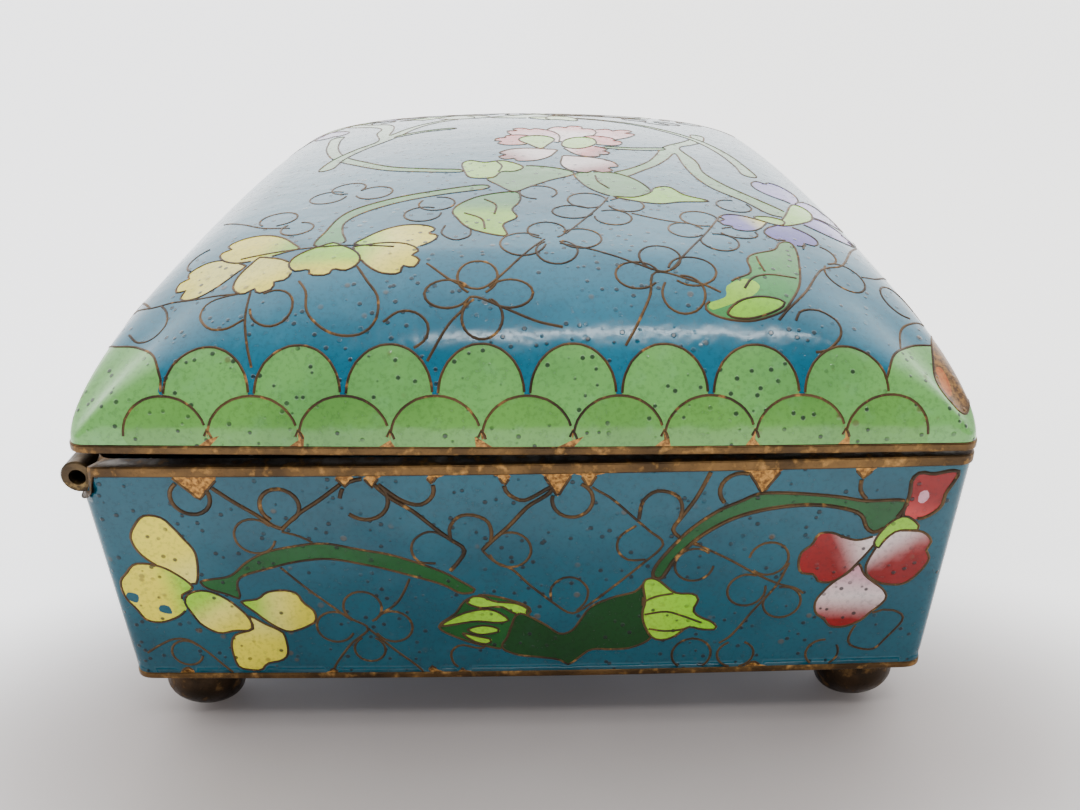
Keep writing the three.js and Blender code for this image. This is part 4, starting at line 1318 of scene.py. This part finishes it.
# %% Enamel, with its mottling, pits and grime
def enamel(name, shade, bloom, coat, shine):
    finish = Finish(name)
    glass = finish.node("ShaderNodeAttribute", {"attribute_name": "inlay"}, output="Color")
    metal = finish.node("ShaderNodeAttribute", {"attribute_name": "inlay"}, output="Alpha")
    broad, cloud, fine = finish.noise(90), finish.noise(520, 4), finish.noise(2600, 3)
    tint = finish.mix(broad.between(0.35, 0.7) * 0.35, glass, solid(*shade), "MULTIPLY")
    tint = finish.mix(cloud.between(0.5, 0.8) * 0.28, tint, solid(*bloom), "SCREEN")
    tint = finish.mix(fine.between(0.45, 0.75) * 0.3, tint, solid(70, 80, 84), "MULTIPLY")
    pits = 1.0 - finish.spots(900).between(0.14, 0.23)
    some = finish.noise(260, 1).between(0.36, 0.52)
    pits = pits * some
    specks = (1.0 - finish.spots(430).between(0.08, 0.17)) * finish.noise(150, 1).between(0.46, 0.6)
    tint = finish.mix(pits * 0.85, tint, solid(30, 32, 34))
    tint = finish.mix(specks * 0.6, tint, solid(92, 72, 52))
    bare = finish.mix(fine.between(0.35, 0.7), solid(92, 62, 34), solid(176, 128, 66))
    tint = finish.mix(metal, tint, bare)
    height = finish.bump(pits + specks * 0.5, 0.5, 0.00012)
    height = finish.bump(finish.noise(300, 2), 0.22, 0.0004, height)
    finish.set(Base_Color=tint, Roughness=0.15 + 0.2 * fine.between(0.5, 0.8) + 0.25 * metal,
               Metallic=metal * 0.8, Normal=height, IOR=1.5, Specular_IOR_Level=shine, Coat_Weight=coat,
               Coat_Roughness=0.06)
    return finish.material


def brass(name, dark, middle, light, rough, wear, metallic=0.85):
    finish = Finish(name)
    broad, grain, fine = finish.noise(160), finish.noise(900, 4), finish.noise(4200, 2)
    tint = finish.mix(broad.between(0.35, 0.65), solid(*dark), solid(*middle))
    tint = finish.mix(grain.between(0.55 - wear, 0.75), tint, solid(*light))
    tint = finish.mix(fine.between(0.5, 0.8) * 0.4, tint, solid(40, 32, 24), "MULTIPLY")
    finish.set(Base_Color=tint, Roughness=rough + 0.25 * grain.between(0.35, 0.7), Metallic=metallic,
               Normal=finish.bump(grain + fine * 0.4, 0.25, 0.00015))
    return finish.material


lid_enamel = enamel("lid enamel", (150, 170, 178), (60, 80, 90), 0.05, 0.36)
tray_enamel = enamel("tray enamel", (130, 150, 162), (30, 40, 46), 0.0, 0.24)
band_brass = brass("band brass", (60, 44, 26), (100, 74, 42), (170, 128, 74), 0.34, 0.04)
wire_brass = brass("wire brass", (52, 40, 28), (88, 66, 40), (168, 126, 72), 0.42, -0.02, 0.7)
hinge_brass = brass("hinge brass", (58, 46, 32), (96, 78, 52), (150, 124, 82), 0.42, 0.0)
foot_brass = brass("foot brass", (38, 28, 18), (66, 48, 30), (120, 90, 54), 0.35, 0.02)
for made, material, slot in [(lid_glass, lid_enamel, "enamel"), (tray_glass, tray_enamel, "enamel"),
                             (lid_wires_mesh, wire_brass, "brass_band"),
                             (tray_wires_mesh, wire_brass, "brass_band"),
                             (lid_band, band_brass, "brass_band"), (mouth_band, band_brass, "brass_band"),
                             (bottom_band, band_brass, "brass_band"),
                             (tray_hinge, hinge_brass, "hinge_brass"),
                             (lid_hinge, hinge_brass, "hinge_brass"), (pin, hinge_brass, "hinge_brass"),
                             *[(foot, foot_brass, "foot_brass") for foot in feet]]:
    made.data.materials.clear()
    made.data.materials.append(material)
print(len(bpy.data.materials), "materials")

# %% [markdown]
# ## Light, floor and camera
#
# The box stands on a pale floor. The surroundings are bright above and behind and dim in front, so
# that its top shines and its near wall is in shade. A narrow lamp gives the streak on the shoulder. The
# floor's own finish paints light and shade: it is lighter and glows a little, as painted light, behind
# the box, holds a painted shadow just in front of it, and is painted a little lighter on the -X side.

# %% Floor, light and camera
def aimed(made, position, target):
    made.location = Vector(position) * MM
    made.rotation_euler = (Vector(target) - Vector(position)).to_track_quat("-Z", "Y").to_euler()
    return made


def softbox(name, position, target, width, depth, power):
    data = bpy.data.lights.new(name, "AREA")
    data.shape, data.size, data.size_y, data.energy = "RECTANGLE", width * MM, depth * MM, power
    made = bpy.data.objects.new(name, data)
    bpy.context.scene.collection.objects.link(made)
    return aimed(made, position, target)


bm = bmesh.new()
bmesh.ops.create_grid(bm, x_segments=1, y_segments=1, size=1.5)
floor_mesh = bpy.data.meshes.new("floor")
bm.to_mesh(floor_mesh)
bm.free()
floor = add_object("floor", floor_mesh)
paper = Finish("paper")
depth = paper.node("ShaderNodeSeparateXYZ", None, paper.place, output="Y")
side = paper.node("ShaderNodeSeparateXYZ", None, paper.place, output="X")
grain = paper.noise(30).between(0.3, 0.7) * 0.02
# The white is painted a little lighter on the -X side, left of the camera, than on the +X side: painted light
# falling from that side.
white = paper.mix(side.between(-0.05, 0.1), solid(252, 252, 254), solid(244, 243, 240))
# An ellipse just in front of the box is a painted shadow: `back` runs from 0 inside it to 1 outside it, with
# a little grain.
across, along = side * 15, (depth + 0.052) * 36
back = (across * across + along * along).between(0.2, 1.8) + grain
# The base colour is the painted shadow's grey inside the ellipse and white outside it. The emission makes the
# floor glow as painted light outside the ellipse, and only dimly inside it.
paper.set(Base_Color=paper.mix(back, solid(168, 161, 158), white), Roughness=0.8,
          Emission_Color=paper.mix(back, solid(64, 59, 58), solid(246, 246, 248)), Emission_Strength=1.0)
floor.data.materials.append(paper.material)

world = bpy.data.worlds.new("studio")
bpy.context.scene.world = world
world.use_nodes = True
sky = world.node_tree.nodes.new("ShaderNodeTexCoord")
tilt = world.node_tree.nodes.new("ShaderNodeVectorMath")
tilt.operation = "DOT_PRODUCT"
tilt.inputs[1].default_value = (-0.1, 0.85, 0.5)
share = world.node_tree.nodes.new("ShaderNodeMapRange")
share.interpolation_type = "SMOOTHSTEP"
for index, value in ((1, -0.2), (2, 0.7), (3, 0.16), (4, 3.3)):
    share.inputs[index].default_value = value
world.node_tree.links.new(sky.outputs["Generated"], tilt.inputs[0])
world.node_tree.links.new(tilt.outputs["Value"], share.inputs[0])
world.node_tree.links.new(share.outputs[0], world.node_tree.nodes["Background"].inputs["Strength"])
world.node_tree.nodes["Background"].inputs["Color"].default_value = (1, 1, 1, 1)
softbox("streak light", (60, -225, 420), (10, -47, 40), 240, 12, 0.5)

camera_data = bpy.data.cameras.new("camera")
camera = bpy.data.objects.new("camera", camera_data)
bpy.context.scene.collection.objects.link(camera)
camera_data.sensor_width, camera_data.lens, camera_data.clip_start = 36, 33.05, 0.01
pitch, yaw, roll = math.radians(25.08), math.radians(0.23), 0.01191
turn = Matrix.Rotation(-yaw, 4, "Z") @ Matrix.Rotation(math.pi / 2 - pitch, 4, "X") @ Matrix.Rotation(-roll,
        4, "Z")
camera.matrix_world = Matrix.Translation(Vector((1.298, -124.536, 70.85)) * MM) @ turn
bpy.context.scene.camera = camera
bpy.context.scene.render.resolution_x, bpy.context.scene.render.resolution_y = 1080, 810
print("camera", round(camera_data.lens, 2), "mm")

# %% [markdown]
# ## The end
#
# The dressed model must still fill the solid one's box. The script ends by bringing the scene up to date.

# %% The end
bpy.context.view_layer.update()
